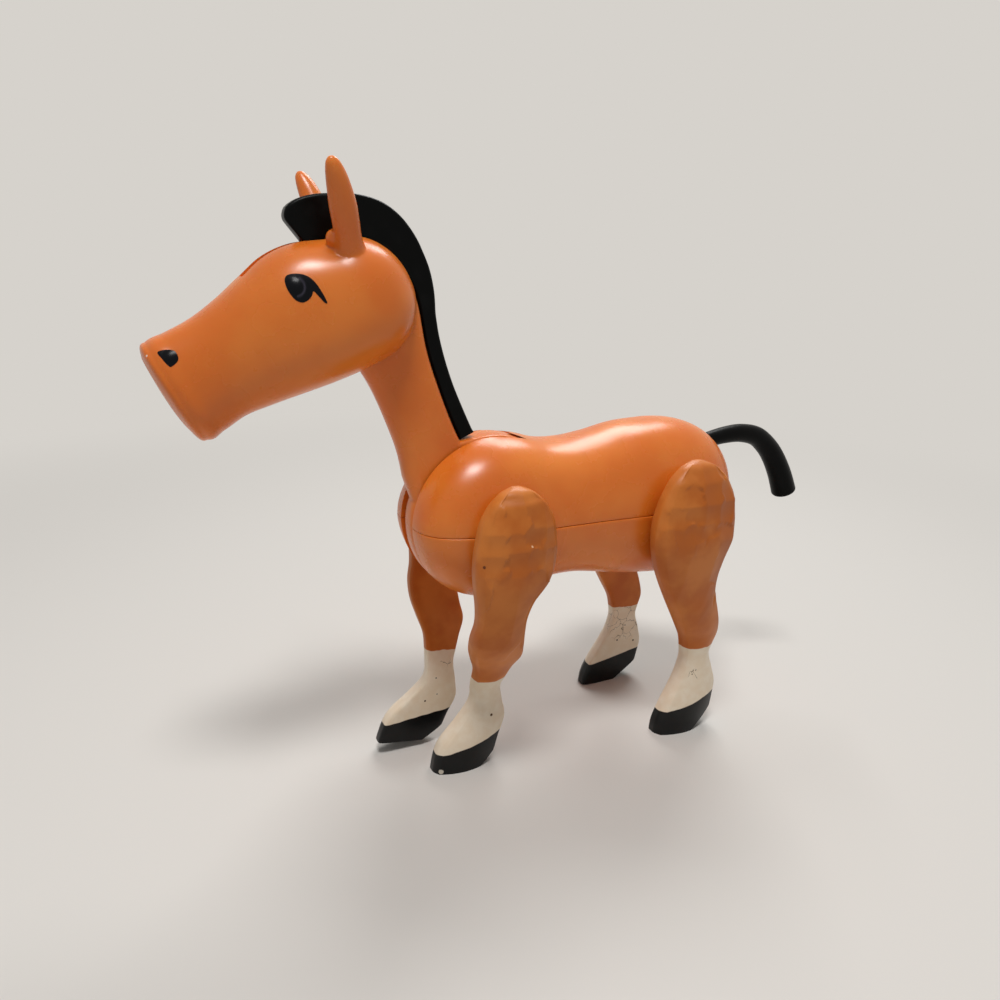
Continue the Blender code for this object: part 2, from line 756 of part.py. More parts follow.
# Floor under a leg, sloping up behind the sole
def sole_cutter(axle, sole_end):
    ground = Vector((axle.x, 0, 0))
    rise = OVERRUN * math.tan(HEEL_CHAMFER)
    corners = (
        (-OVERRUN, 0),
        (sole_end, 0),
        (sole_end + OVERRUN, rise),
        (sole_end + OVERRUN, -OVERRUN),
        (-OVERRUN, -OVERRUN),
    )
    return plate("ground", [ground + Vector((x, 0, z)) for x, z in corners], OVERRUN)


def make_leg(name, axle, side, table, thigh_depth, foot_offset, sole_end, step):
    rings = [leg_ring(axle, side, row, thigh_depth, foot_offset) for row in table]
    leg = loft(name, rings)
    combine(leg, sole_cutter(axle, sole_end), "DIFFERENCE")
    shaft_start = axle + SIDE * side * (LEG_INSIDE + LEG_THICKNESS / 2)
    shaft_end = axle + SIDE * side * SHAFT_END
    combine(leg, rod("shaft", shaft_start, shaft_end, LEG_SHAFT_RADIUS), "UNION")
    place_on_axle(leg, axle)
    swing_mesh(leg, step)
    if lowest_point(leg) < -GAP / 2:
        low = axle - HALF_SPACE
        high = axle + HALF_SPACE
        high.z = 0
        floor = block("floor", low, high)
        combine(leg, floor, "DIFFERENCE")
    retainer_out = axle + SIDE * side * RETAINER_FACE
    retainer_in = axle + SIDE * side * (RETAINER_FACE - RETAINER_THICKNESS)
    retainer = rod(name + "_retainer", retainer_out, retainer_in, RETAINER_RADIUS)
    reach = SIDE * side * GAP
    bore = rod("bore", retainer_out + reach, retainer_in - reach, LEG_SHAFT_RADIUS + GAP)
    combine(retainer, bore, "DIFFERENCE")
    place_on_axle(retainer, axle)
    return leg, retainer


# Moves the origin to the axle without moving the piece
def place_on_axle(item, axle):
    item.data.transform(Matrix.Translation(-axle))
    item.location = axle
    bpy.context.view_layer.update()


# Turns a leg about its axle, feet towards the nose
def swing_mesh(item, swing):
    item.data.transform(Matrix.Rotation(swing, 4, "Y"))


def lowest_point(item):
    return min((item.matrix_world @ vertex.co).z for vertex in item.data.vertices)


# Tail: a peg with a head inside the rump, then a tube that thickens to a flat end
def tail_start():
    up, down, across = BACK_SHARES[-1][1:]
    height_share = TAIL_HEIGHT / (BODY_HALF_HEIGHT * up)
    reach_share = (1 - height_share**RUMP_POWER) ** (1 / RUMP_POWER)
    return REAR_AXLE + Vector((RUMP_LENGTH * reach_share, 0, TAIL_HEIGHT))


def tail_path():
    start = tail_start()
    back = Vector((1, 0, 0))
    seat = start - back * TAIL_SEAT_LENGTH
    head_end = seat - back * (GAP + TAIL_HEAD_LENGTH)
    path = [
        (head_end, TAIL_HEAD_RADIUS),
        (seat - back * GAP, TAIL_HEAD_RADIUS),
        (seat - back * GAP, TAIL_ROOT_RADIUS),
    ]
    for k in range(TAIL_RINGS + 1):
        share = k / TAIL_RINGS
        reach, drop = along(TAIL_SHARES, share)
        centre = start + back * TAIL_LENGTH * reach - Vector((0, 0, TAIL_DROP * drop))
        swell = share ** TAIL_SWELL_POWER
        radius = TAIL_ROOT_RADIUS + (TAIL_END_RADIUS - TAIL_ROOT_RADIUS) * swell
        path.append((centre, radius))
    return path


def make_tail():
    path = tail_path()
    rings = []
    for k, (centre, radius) in enumerate(path):
        before = path[max(k - 1, 0)][0]
        after = path[min(k + 1, len(path) - 1)][0]
        tangent = (after - before).normalized() if k > 2 else Vector((1, 0, 0))
        up = tangent.cross(SIDE).normalized()
        ring = []
        for p in range(TAIL_POINTS):
            angle = 2 * math.pi * p / TAIL_POINTS
            ring.append(centre + (SIDE * math.cos(angle) + up * math.sin(angle)) * radius)
        rings.append(ring)
    return loft("tail", rings)


# Plain colours as linear red, green and blue
def plastic(name, colour, roughness):
    made = bpy.data.materials.new(name)
    made.use_nodes = True
    shader = made.node_tree.nodes["Principled BSDF"]
    shader.inputs["Base Color"].default_value = (*colour, 1)
    shader.inputs["Roughness"].default_value = roughness
    shader.inputs["Metallic"].default_value = 0
    return made


def paint(item, *materials):
    item.data.materials.clear()
    for material in materials:
        item.data.materials.append(material)


# Orange leg, cream sock and black hoof, told apart by height along the leg
def paint_leg(leg, orange, cream, black):
    paint(leg, orange, cream, black)
    for face in leg.data.polygons:
        share = (face.center.z + AXLE_HEIGHT) / AXLE_HEIGHT
        if share < HOOF_TOP_SHARE:
            face.material_index = 2
        elif share < SOCK_TOP_SHARE:
            face.material_index = 1


def make_legs():
    orange = plastic("Moulded orange leg plastic", (0.50, 0.145, 0.028), 0.42)
    cream = plastic("Cream sock paint", (0.80, 0.70, 0.56), 0.45)
    black = plastic("Black hoof paint", (0.012, 0.012, 0.013), 0.35)
    made = []
    front = ("front", FRONT_AXLE, FRONT_LEG_SHARES, FRONT_THIGH_DEPTH, FRONT_FOOT_OFFSET)
    rear = ("rear", REAR_AXLE, REAR_LEG_SHARES, REAR_THIGH_DEPTH, REAR_FOOT_OFFSET)
    for end, axle, table, depth, offset, sole, step in (
        (*front, FRONT_SOLE_END, RIGHT_FRONT_STEP),
        (*rear, REAR_SOLE_END, RIGHT_REAR_STEP),
    ):
        for word, side in (("left", -1), ("right", 1)):
            swing = step if side > 0 else 0
            name = f"{end}_{word}_leg"
            leg, retainer = make_leg(name, axle, side, table, depth, offset, sole, swing)
            paint_leg(leg, orange, cream, black)
            paint(retainer, orange)
            made += [leg, retainer]
    return made


def main():
    clear_scene()
    orange = plastic("Glossy orange plastic", (0.69, 0.165, 0.032), 0.28)
    dark = plastic("Black vinyl", (0.010, 0.010, 0.011), 0.5)
    back, belly = make_body()
    neck = make_neck()
    neck_pin = make_pin("neck_pivot_pin", FRONT_AXLE)
    head_pin = make_pin("head_pivot_pin", HEAD_PIVOT)
    mane = make_mane()
    head = make_head()
    tail = make_tail()
    pieces = [back, belly, neck, neck_pin, head_pin, mane, *head, tail]
    for item in pieces:
        paint(item, dark if item in (mane, tail) else orange)
    for item in (neck, neck_pin, mane):
        place_on_axle(item, FRONT_AXLE)
    for item in (head_pin, *head):
        place_on_axle(item, HEAD_PIVOT)
    place_on_axle(tail, tail_start())
    pieces += make_legs()
    for item in pieces:
        item.data.shade_smooth()
        item.data.set_sharp_from_angle(angle=SMOOTH_ANGLE)


main()
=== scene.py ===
from math import acos, asin, copysign, cos, degrees, exp, pi, radians, sin, tan

import bmesh
import bpy
import numpy as np
from mathutils import Matrix, Quaternion, Vector
from mathutils.bvhtree import BVHTree
from mathutils.geometry import delaunay_2d_cdt


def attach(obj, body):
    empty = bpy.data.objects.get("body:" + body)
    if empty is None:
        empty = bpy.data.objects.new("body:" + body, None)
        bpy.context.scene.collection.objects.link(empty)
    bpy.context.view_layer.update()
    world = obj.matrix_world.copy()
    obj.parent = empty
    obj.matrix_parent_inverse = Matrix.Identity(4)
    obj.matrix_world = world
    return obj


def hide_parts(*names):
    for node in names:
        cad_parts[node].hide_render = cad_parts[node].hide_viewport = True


# Jointed toy horse in orange plastic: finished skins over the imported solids.
# Sizes in the dictionaries are in millimetres and degrees; the nose points towards -X.

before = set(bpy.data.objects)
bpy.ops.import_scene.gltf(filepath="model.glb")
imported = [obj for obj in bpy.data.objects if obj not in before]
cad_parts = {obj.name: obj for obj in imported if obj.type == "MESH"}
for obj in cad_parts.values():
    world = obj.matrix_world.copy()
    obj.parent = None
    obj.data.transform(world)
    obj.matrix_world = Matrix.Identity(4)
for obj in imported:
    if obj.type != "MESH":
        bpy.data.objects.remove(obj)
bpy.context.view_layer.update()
mm = 0.001

stance = {
    "axleHeight": 42.9,
    "axleSpacing": 31.0,
    "frontAxleX": -9.75,
    "neckReach": 39.0,
    "neckLean": 32.2,
    "rightFrontStep": 9.5,
    "rightRearStep": 4.5,
    "runningGap": 0.3,
}
neckLean = radians(stance["neckLean"])
frontAxle = Vector((stance["frontAxleX"], 0, stance["axleHeight"]))
rearAxle = frontAxle + Vector((stance["axleSpacing"], 0, 0))
neckUp = Vector((-sin(neckLean), 0, cos(neckLean)))
neckBack = Vector((cos(neckLean), 0, sin(neckLean)))
headPivot = frontAxle + neckUp * stance["neckReach"]
sideways = Vector((0, 1, 0))


def addObject(name, data):
    made = bpy.data.objects.new(name, data)
    bpy.context.scene.collection.objects.link(made)
    return made


# Mesh helpers: points are worked out in millimetres and become metres here
def newMesh(name, points, faces):
    mesh = bpy.data.meshes.new(name)
    mesh.from_pydata([tuple(Vector(p) * mm) for p in points], [], faces)
    work = bmesh.new()
    work.from_mesh(mesh)
    bmesh.ops.recalc_face_normals(work, faces=work.faces)
    work.to_mesh(mesh)
    work.free()
    return addObject(name, mesh)


def skin(name, rings):
    count = len(rings[0])
    points = [p for ring in rings for p in ring]
    faces = []
    for r in range(len(rings) - 1):
        for k in range(count):
            nxt = (k + 1) % count
            faces.append((r * count + k, r * count + nxt, (r + 1) * count + nxt, (r + 1) * count + k))
    last = (len(rings) - 1) * count
    faces.append(tuple(reversed(range(count))))
    faces.append(tuple(range(last, last + count)))
    return newMesh(name, points, faces)


def plate(name, profile, halfThickness):
    return skin(name, [[p + sideways * s * halfThickness for p in profile] for s in (-1, 1)])


def rod(name, start, end, radius, points=48):
    direction = (end - start).normalized()
    first = direction.orthogonal().normalized()
    second = direction.cross(first)
    turns = [2 * pi * k / points for k in range(points)]
    return skin(name, [[c + (first * cos(a) + second * sin(a)) * radius for a in turns]
                       for c in (start, end)])


def squareOff(value, power):
    return copysign(abs(value) ** (2 / power), value)


def outline(points, side, up, down, power):
    found = []
    for k in range(points):
        angle = 2 * pi * (k + 0.5) / points
        s = sin(angle)
        found.append((side * squareOff(cos(angle), power), (up if s > 0 else down) * squareOff(s, power)))
    return found


# Points of a seam's rounded edge: how far each lies back and how far down
def seamCorner(radius):
    return [(radius * (1 - cos(radians(turn))), radius * sin(radians(turn))) for turn in (30, 60, 90)]


# Smooth curve through a table whose first column is the position along it
def along(table, position):
    rows = np.array(table)
    steps = rows[:, 0]
    slopes = np.gradient(rows[:, 1:], steps, axis=0)
    i = int(np.clip(np.searchsorted(steps, position) - 1, 0, len(steps) - 2))
    span = steps[i + 1] - steps[i]
    t = (position - steps[i]) / span
    return ((1 + 2 * t) * (1 - t) ** 2 * rows[i, 1:] + t * t * (3 - 2 * t) * rows[i + 1, 1:]
            + t * (1 - t) ** 2 * span * slopes[i] + t * t * (t - 1) * span * slopes[i + 1])


def turned(centre, radius, turn):
    angle = radians(turn)
    return centre + Vector((radius * cos(angle), 0, radius * sin(angle)))


def arc(centre, radius, start, end, step=2.5):
    steps = max(2, round(abs(end - start) / step))
    return [turned(centre, radius, start + (end - start) * k / steps) for k in range(steps + 1)]


def evaluated(item):
    graph = bpy.context.evaluated_depsgraph_get()
    result = bpy.data.meshes.new_from_object(item.evaluated_get(graph))
    item.modifiers.clear()
    item.data = result
    return item


def combine(item, tool, operation="DIFFERENCE"):
    step = item.modifiers.new(operation, "BOOLEAN")
    step.operation = operation
    step.object = tool
    step.solver = "EXACT"
    evaluated(item)
    bpy.data.objects.remove(tool, do_unlink=True)
    return item


def smoothStep(value, low, high):
    t = np.clip((value - low) / (high - low), 0, 1)
    return t * t * (3 - 2 * t)


def perVertex(item, what):
    found = np.zeros(len(item.data.vertices) * 3)
    item.data.vertices.foreach_get(what, found)
    return found.reshape(-1, 3)


def setAttribute(item, name, values):
    made = item.data.attributes.new(name, "FLOAT", "POINT")
    made.data.foreach_set("value", np.array(values, dtype=np.float32))


def finish(piece, body, nodes, material=None, sharp=35):
    if material:
        piece.data.materials.clear()
        piece.data.materials.append(material)
    piece.data.shade_smooth()
    piece.data.set_sharp_from_angle(angle=radians(sharp))
    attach(piece, body)
    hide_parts(*nodes)
    return piece


# Materials
def hexColour(text):
    values = [int(text[k:k + 2], 16) / 255 for k in (1, 3, 5)]
    return (*[v / 12.92 if v <= 0.04045 else ((v + 0.055) / 1.055) ** 2.4 for v in values], 1)


# Adds a node with its settings and inputs, linked or set, and gives back its outputs
def addNode(tree, kind, settings=(), inputs=()):
    node = tree.nodes.new(kind if "Node" in kind else "ShaderNode" + kind)
    for name, value in dict(settings).items():
        setattr(node, name, value)
    for name, value in dict(inputs).items():
        if isinstance(value, bpy.types.NodeSocket):
            tree.links.new(value, node.inputs[name])
        else:
            node.inputs[name].default_value = hexColour(value) if str(value)[0] == "#" else value
    return node.outputs


smoothly = {"interpolation_type": "SMOOTHSTEP"}
inColour = {"data_type": "RGBA"}
byFloat = {"data_type": "FLOAT"}
plus, minus, times, over, lowest, dot, scaled, apart, timesPlus = (
    {"operation": word} for word in ("ADD", "SUBTRACT", "MULTIPLY", "DIVIDE", "MINIMUM", "DOT_PRODUCT",
                                     "SCALE", "DISTANCE", "MULTIPLY_ADD"))


def newMaterial(name):
    made = bpy.data.materials.new(name)
    made.use_nodes = True
    made.node_tree.nodes.clear()
    return made, made.node_tree


def perMetre(millimetres):
    return 1 / (millimetres * mm)


# A noise of one size, and soft blotches that go from 0 to 1 between two of its levels
def blotches(tree, place, size, detail, low, high):
    noise = addNode(tree, "TexNoise", inputs={"Vector": place, "Scale": perMetre(size), "Detail": detail})[0]
    return noise, addNode(tree, "MapRange", smoothly,
                          {"Value": noise, "From Min": low, "From Max": high})[0]


# A round mask about a point, 1 inside and fading to 0 at its reach
def roundMask(tree, place, x, y, z, reach, fade):
    away = addNode(tree, "VectorMath", apart, {0: place, 1: (x * mm, y * mm, z * mm)})["Value"]
    return addNode(tree, "MapRange", smoothly,
                   {"Value": away, "From Min": reach * mm, "From Max": reach * fade * mm})[0]


def addSurface(tree, colour, gloss, relief, depth, more):
    bump = addNode(tree, "Bump", inputs={"Height": relief, "Distance": depth * mm, "Strength": 1.0})[0]
    shader = addNode(tree, "BsdfPrincipled",
                     inputs={"Base Color": colour, "Roughness": gloss, "Normal": bump, **more})
    addNode(tree, "OutputMaterial", inputs={"Surface": shader[0]})


# Moulded orange plastic: even colour with faint flow clouds, soft gloss dulled a little where it is handled
orangePlastic = {
    "deep": "#D96E1E",
    "pale": "#E27D2C",
    "cloudSize": 11.0,
    "cloudLevels": (0.35, 0.68),
    "handledSize": 6.0,
    "handledLevels": (0.5, 0.72),
    "gloss": 0.27,
    "handled": 0.34,
    "sheen": 0.40,
    "peelSize": 1.1,
    "peelDepth": 0.004,
    "glow": 0.16,
    "glowReach": (1.2, 0.35, 0.1),
    "chip": "#F0D9C4",
    "chipFade": 0.5,
    "chips": ((-57.4, -3.1, 69.8, 0.20),),
}


def mouldedOrange():
    use = orangePlastic
    made, tree = newMaterial("Injection moulded glossy polystyrene, orange")
    place = addNode(tree, "TexCoord")["Object"]
    clouds = blotches(tree, place, use["cloudSize"], 2.0, *use["cloudLevels"])[1]
    colour = addNode(tree, "Mix", inColour, {0: clouds, 6: use["deep"], 7: use["pale"]})[2]
    for x, y, z, size in use["chips"]:
        spot = roundMask(tree, place, x, y, z, size, use["chipFade"])
        colour = addNode(tree, "Mix", inColour, {0: spot, 6: colour, 7: use["chip"]})[2]
    handled = blotches(tree, place, use["handledSize"], 4.0, *use["handledLevels"])[1]
    dull = addNode(tree, "Mix", byFloat, {0: handled, 2: use["gloss"], 3: use["handled"]})[0]
    peel = addNode(tree, "TexNoise",
                   inputs={"Vector": place, "Scale": perMetre(use["peelSize"]), "Detail": 1.0})[0]
    addSurface(tree, colour, dull, peel, use["peelDepth"],
               {"IOR": 1.53, "Specular IOR Level": use["sheen"], "Subsurface Weight": use["glow"],
                "Subsurface Radius": use["glowReach"], "Subsurface Scale": mm})
    return made


bodyPlastic = mouldedOrange()


# Legs: duller yellower plastic with painted shade cut by cut, darker on the cuts that lean to face down, and
# brushed enamel with a ragged edge that shows specks, chips and hairline cracks; marks and patches are placed
# as the near and far legs stand at zero
legPaint = {
    "deep": "#BC6422",
    "pale": "#CF7A34",
    "shadow": "#8A4413",
    "shades": {"facets": 0.20, "panels": 0.22},
    "cream": "#E9D6BC",
    "creamPale": "#EEDFC9",
    "hoof": "#030303",
    "hoofPale": "#0A0A0B",
    "chip": "#3A2312",
    "crack": "#8C7860",
    "cloudSize": 6.0,
    "cloudLevels": (0.35, 0.68),
    "brushSize": 1.6,
    "brushLevels": (0.3, 0.75),
    "brushDepth": 0.02,
    "edgeSize": 2.4,
    "edgeBlur": 0.05,
    "wobbles": {"aboveSock": 0.7, "aboveHoof": 0.4},
    "chipSpacing": 2.6,
    "chipSize": 0.13,
    "chipShare": 0.28,
    "chipChoice": 0.02,
    "crackSpacing": 2.3,
    "crackWidth": 0.03,
    "crackWander": 1.4,
    "crackFade": (1.6, 0.6),
    "crackPatchFade": 0.7,
    "markFade": (1.6, 1.2),
    "plasticGloss": 0.40,
    "sockGloss": 0.30,
    "hoofGloss": 0.30,
    "sheen": 0.28,
    "marks": (
        (-16.98, -15.28, 40.18, 0.30, "#6A3412"),
        (-9.83, -16.51, 42.79, 0.16, "#F6C79E"),
        (-11.10, -6.64, 9.50, 0.28, "#5A3A20"),
        (-19.91, -6.03, 0.55, 0.42, "#CFC6B6"),
        (-12.20, 3.11, 11.86, 0.17, "#4A3423"),
        (-13.65, 2.90, 7.65, 0.20, "#4A3423"),
        (-11.58, 2.92, 8.83, 0.15, "#4A3423"),
        (27.06, 8.60, 9.24, 0.20, "#4A3423"),
        (31.14, 8.60, 8.73, 0.22, "#4A3423"),
        (28.54, 8.64, 12.40, 0.16, "#4A3423"),
        (26.60, -12.10, 11.40, 0.24, "#5A3A20"),
    ),
    "crackPatches": ((28.3, 8.8, 12.9, 4.4), (-10.6, 3.8, 14.6, 1.2), (27.0, -12.0, 11.2, 1.3)),
}


def paintedLeg():
    use = legPaint
    made, tree = newMaterial("Moulded matt polypropylene leg with brushed enamel sock and hoof")
    place = addNode(tree, "Attribute", {"attribute_name": "standingPlace"})["Vector"]
    clouds = blotches(tree, place, use["cloudSize"], 3.0, *use["cloudLevels"])[1]
    orange = addNode(tree, "Mix", inColour, {0: clouds, 6: use["deep"], 7: use["pale"]})[2]
    # Painted shade: each carved cut is mixed towards the shadow colour by its stored shade, most on cuts that
    # face down
    for cut, shade in use["shades"].items():
        paintedShade = addNode(tree, "Attribute", {"attribute_name": cut + "Tone"})["Fac"]
        shadier = addNode(tree, "Math", times, {0: paintedShade, 1: shade})[0]
        orange = addNode(tree, "Mix", inColour, {0: shadier, 6: orange, 7: use["shadow"]})[2]
    brush, strokes = blotches(tree, place, use["brushSize"], 3.0, *use["brushLevels"])
    sock = addNode(tree, "Mix", inColour, {0: strokes, 6: use["cream"], 7: use["creamPale"]})[2]
    hoof = addNode(tree, "Mix", inColour, {0: strokes, 6: use["hoof"], 7: use["hoofPale"]})[2]
    cells = addNode(tree, "TexVoronoi", inputs={"Vector": place, "Scale": perMetre(use["chipSpacing"])})
    near = addNode(tree, "MapRange", smoothly, {"Value": cells["Distance"], "From Max": 0.0,
                                                "From Min": use["chipSize"] / use["chipSpacing"]})[0]
    lot = addNode(tree, "SeparateColor", inputs={0: cells["Color"]})[0]
    rare = 1 - use["chipShare"]
    few = addNode(tree, "MapRange",
                  inputs={"Value": lot, "From Min": rare, "From Max": rare + use["chipChoice"]})[0]
    chips = addNode(tree, "Math", times, {0: near, 1: few})[0]
    sock = addNode(tree, "Mix", inColour, {0: chips, 6: sock, 7: use["chip"]})[2]
    waves = addNode(tree, "TexNoise",
                    inputs={"Vector": place, "Scale": perMetre(use["crackSpacing"] / 2), "Detail": 2.0})[1]
    astray = addNode(tree, "VectorMath", timesPlus,
                     {0: waves, 1: [use["crackWander"] * mm] * 3, 2: place})[0]
    edges = addNode(tree, "TexVoronoi", {"feature": "DISTANCE_TO_EDGE"},
                    {"Vector": astray, "Scale": perMetre(use["crackSpacing"])})["Distance"]
    gone, full = [use["crackWidth"] / use["crackSpacing"] * fade for fade in use["crackFade"]]
    line = addNode(tree, "MapRange", smoothly, {"Value": edges, "From Min": gone, "From Max": full})[0]
    for x, y, z, reach in use["crackPatches"]:
        inside = roundMask(tree, place, x, y, z, reach, use["crackPatchFade"])
        cracked = addNode(tree, "Math", times, {0: line, 1: inside})[0]
        sock = addNode(tree, "Mix", inColour, {0: cracked, 6: sock, 7: use["crack"]})[2]
    ragged = addNode(tree, "TexNoise",
                     inputs={"Vector": place, "Scale": perMetre(use["edgeSize"]), "Detail": 2.0})[0]
    colour, masks = orange, []
    for (height, wobble), paint in zip(use["wobbles"].items(), (sock, hoof)):
        above = addNode(tree, "Attribute", {"attribute_name": height})["Fac"]
        level = addNode(tree, "Math", timesPlus, {0: ragged, 1: wobble, 2: above})[0]
        outside, inside = wobble / 2 + use["edgeBlur"], wobble / 2 - use["edgeBlur"]
        masks.append(addNode(tree, "MapRange",
                             inputs={"Value": level, "From Min": outside, "From Max": inside})[0])
        colour = addNode(tree, "Mix", inColour, {0: masks[-1], 6: colour, 7: paint})[2]
    for x, y, z, size, shade in use["marks"]:
        away = addNode(tree, "VectorMath", apart, {0: place, 1: (x * mm, y * mm, z * mm)})["Value"]
        uneven = addNode(tree, "Math", timesPlus, {0: brush, 1: size * mm, 2: away})[0]
        gone, full = [size * fade * mm for fade in use["markFade"]]
        spot = addNode(tree, "MapRange", smoothly,
                       {"Value": uneven, "From Min": gone, "From Max": full})[0]
        colour = addNode(tree, "Mix", inColour, {0: spot, 6: colour, 7: shade})[2]
    gloss = use["plasticGloss"]
    for mask, painted in zip(masks, (use["sockGloss"], use["hoofGloss"])):
        gloss = addNode(tree, "Mix", byFloat, {0: mask, 2: gloss, 3: painted})[0]
    relief = addNode(tree, "Math", times, {0: brush, 1: masks[0]})[0]
    addSurface(tree, colour, gloss, relief, use["brushDepth"],
               {"IOR": 1.5, "Specular IOR Level": use["sheen"]})
    return made


legPlastic = paintedLeg()


# Black finishes: soft satin, greyer where rubbed; the face paint has a paler grey crescent round the pupil, a
# painted reflection
blackFinishes = {
    "rubSize": 3.5,
    "rubLevels": (0.5, 0.76),
    "grainSize": 0.6,
    "grainDepth": 0.004,
    "sheen": 0.08,
    "mane": {"name": "Moulded black polyethylene, satin", "deep": "#030404", "rubbed": "#0A0B0B",
             "gloss": 0.32, "dull": 0.44},
    "tail": {"name": "Extruded soft black vinyl", "deep": "#040404", "rubbed": "#0B0C0D",
             "gloss": 0.36, "dull": 0.48},
    # The face paint's ring colour is a painted reflection, a pale crescent by the pupil
    "face": {"name": "Pad-printed black enamel", "deep": "#0E0F13", "rubbed": "#1A1B20",
             "gloss": 0.22, "dull": 0.30, "ring": "#3B3843"},
}


def blackFinish(which):
    use = blackFinishes
    own = use[which]
    made, tree = newMaterial(own["name"])
    place = addNode(tree, "TexCoord")["Object"]
    rub = blotches(tree, place, use["rubSize"], 5.0, *use["rubLevels"])[1]
    colour = addNode(tree, "Mix", inColour, {0: rub, 6: own["deep"], 7: own["rubbed"]})[2]
    # Painted reflection: the paler grey crescent is mixed over the black where the ring attribute is set
    if "ring" in own:
        share = addNode(tree, "Attribute", {"attribute_name": "ring"})["Fac"]
        colour = addNode(tree, "Mix", inColour, {0: share, 6: colour, 7: own["ring"]})[2]
    dull = addNode(tree, "Mix", byFloat, {0: rub, 2: own["gloss"], 3: own["dull"]})[0]
    grain = addNode(tree, "TexNoise",
                    inputs={"Vector": place, "Scale": perMetre(use["grainSize"]), "Detail": 1.0})[0]
    addSurface(tree, colour, dull, grain, use["grainDepth"], {"IOR": 1.5, "Specular IOR Level": use["sheen"]})
    return made


manePlastic, tailPlastic, facePaint = [blackFinish(which) for which in ("mane", "tail", "face")]
print("materials made")


# Body: two shells parted along the flank, with a slot for the neck
body = {
    "wall": 1.5,
    "rings": (30, 64, 26),
    "hollowRings": (10, 24, 12),
    "hollowPoints": 40,
    "chestStart": 2.5,
    "rumpTurn": 88.0,
    "chestRadius": 13.6,
    "halfWidth": 11.2,
    "rumpLength": 16.0,
    "halfHeight": 13.7,
    "chestPower": 4.2,
    "rumpPower": 2.4,
    "sectionPower": 2.15,
    "seamGap": 0.08,
    "seamRound": 0.13,
    "seamLip": 0.07,
    "lipDepth": 0.9,
    "slotHalfWidth": 2.7,
    "slotRadius": 13.7,
    "slotPoints": 144,
    "housingPoints": 96,
    "cheekWall": 1.2,
    "hipBore": 2.5,
    "tailBore": 1.5,
    "tailHeight": 8.9,
    "backShares": (
        (0.00, 0.990, 0.985, 1.000),
        (0.14, 0.955, 0.920, 0.985),
        (0.29, 0.870, 0.850, 0.970),
        (0.45, 0.855, 0.840, 0.970),
        (0.62, 0.905, 0.900, 0.985),
        (0.80, 0.990, 0.980, 1.010),
        (1.00, 1.020, 1.035, 1.030),
    ),
}


def bodyStations(inset, chestRings, backRings, rumpRings):
    stations = []
    tall = body["halfHeight"] - inset
    broad = body["halfWidth"] - inset
    spacing = stance["axleSpacing"]
    up, down, across = body["backShares"][0][1:]
    for k in range(chestRings):
        turn = radians(body["chestStart"] + (90 - body["chestStart"]) * k / chestRings)
        rise = sin(turn)
        side = rise ** (2 / body["chestPower"])
        stations.append(((inset - body["chestRadius"]) * cos(turn), tall * up * rise,
                         tall * down * rise, broad * across * side))
    for k in range(backRings + 1):
        up, down, across = along(body["backShares"], k / backRings)
        stations.append((spacing * k / backRings, tall * up, tall * down, broad * across))
    for k in range(1, rumpRings + 1):
        turn = radians(body["rumpTurn"] * k / rumpRings)
        fall = cos(turn) ** (2 / body["rumpPower"])
        x = spacing + (body["rumpLength"] - inset) * sin(turn) ** (2 / body["rumpPower"])
        stations.append((x, tall * up * fall, tall * down * fall, broad * across * fall))
    return stations


# Half a section of the shell: the seam's rounded edge, then over the top and down to the other edge
def shellRing(x, reach, wide, sign, lip, points=80):
    level = body["seamGap"] / 2 + body["seamRound"]
    first = asin(min(1, (level / reach) ** (body["sectionPower"] / 2)))
    ring = []
    for k in range(points + 1):
        angle = first + (pi - 2 * first) * k / points
        z = reach * squareOff(sin(angle), body["sectionPower"])
        y = wide * squareOff(cos(angle), body["sectionPower"])
        ring.append((y + copysign(lip * exp(-(z / body["lipDepth"]) ** 2), y), z))
    corner = [(ring[0][0] - back, level - drop) for back, drop in seamCorner(body["seamRound"])]
    loop = list(reversed(corner)) + ring + [(-y, z) for y, z in corner]
    return [frontAxle + Vector((x, y, z * sign)) for y, z in loop]


def makeShell(name, sign, lip):
    rings = [shellRing(x, up if sign > 0 else down, wide, sign, lip)
             for x, up, down, wide in bodyStations(0, *body["rings"])]
    shell = skin(name, rings)
    inner = []
    for x, up, down, wide in bodyStations(body["wall"], *body["hollowRings"]):
        section = outline(body["hollowPoints"], wide, up, down, body["sectionPower"])
        inner.append([frontAxle + Vector((x, y, z)) for y, z in section])
    hollow = skin("hollow", inner)
    cheek = body["slotHalfWidth"] + body["cheekWall"]
    housing = rod("housing", frontAxle - sideways * cheek, frontAxle + sideways * cheek,
                  body["slotRadius"] + body["cheekWall"], body["housingPoints"])
    combine(hollow, housing)
    combine(shell, hollow)
    half = sideways * body["slotHalfWidth"]
    slot = rod("slot", frontAxle - half, frontAxle + half, body["slotRadius"], body["slotPoints"])
    combine(shell, slot)
    for axle in (frontAxle, rearAxle):
        through = sideways * body["halfWidth"] * 2
        combine(shell, rod("bore", axle - through, axle + through, body["hipBore"]))
    tailRoot = rearAxle + Vector((0, 0, body["tailHeight"]))
    combine(shell, rod("bore", tailRoot, tailRoot + Vector((body["rumpLength"] * 2, 0, 0)), body["tailBore"]))
    return shell


finish(makeShell("back_shell_skin", 1, 0), "torso", ["back_shell"], bodyPlastic)
finish(makeShell("belly_shell_skin", -1, body["seamLip"]), "torso", ["belly_shell"],
       bodyPlastic)
print("body shells made")


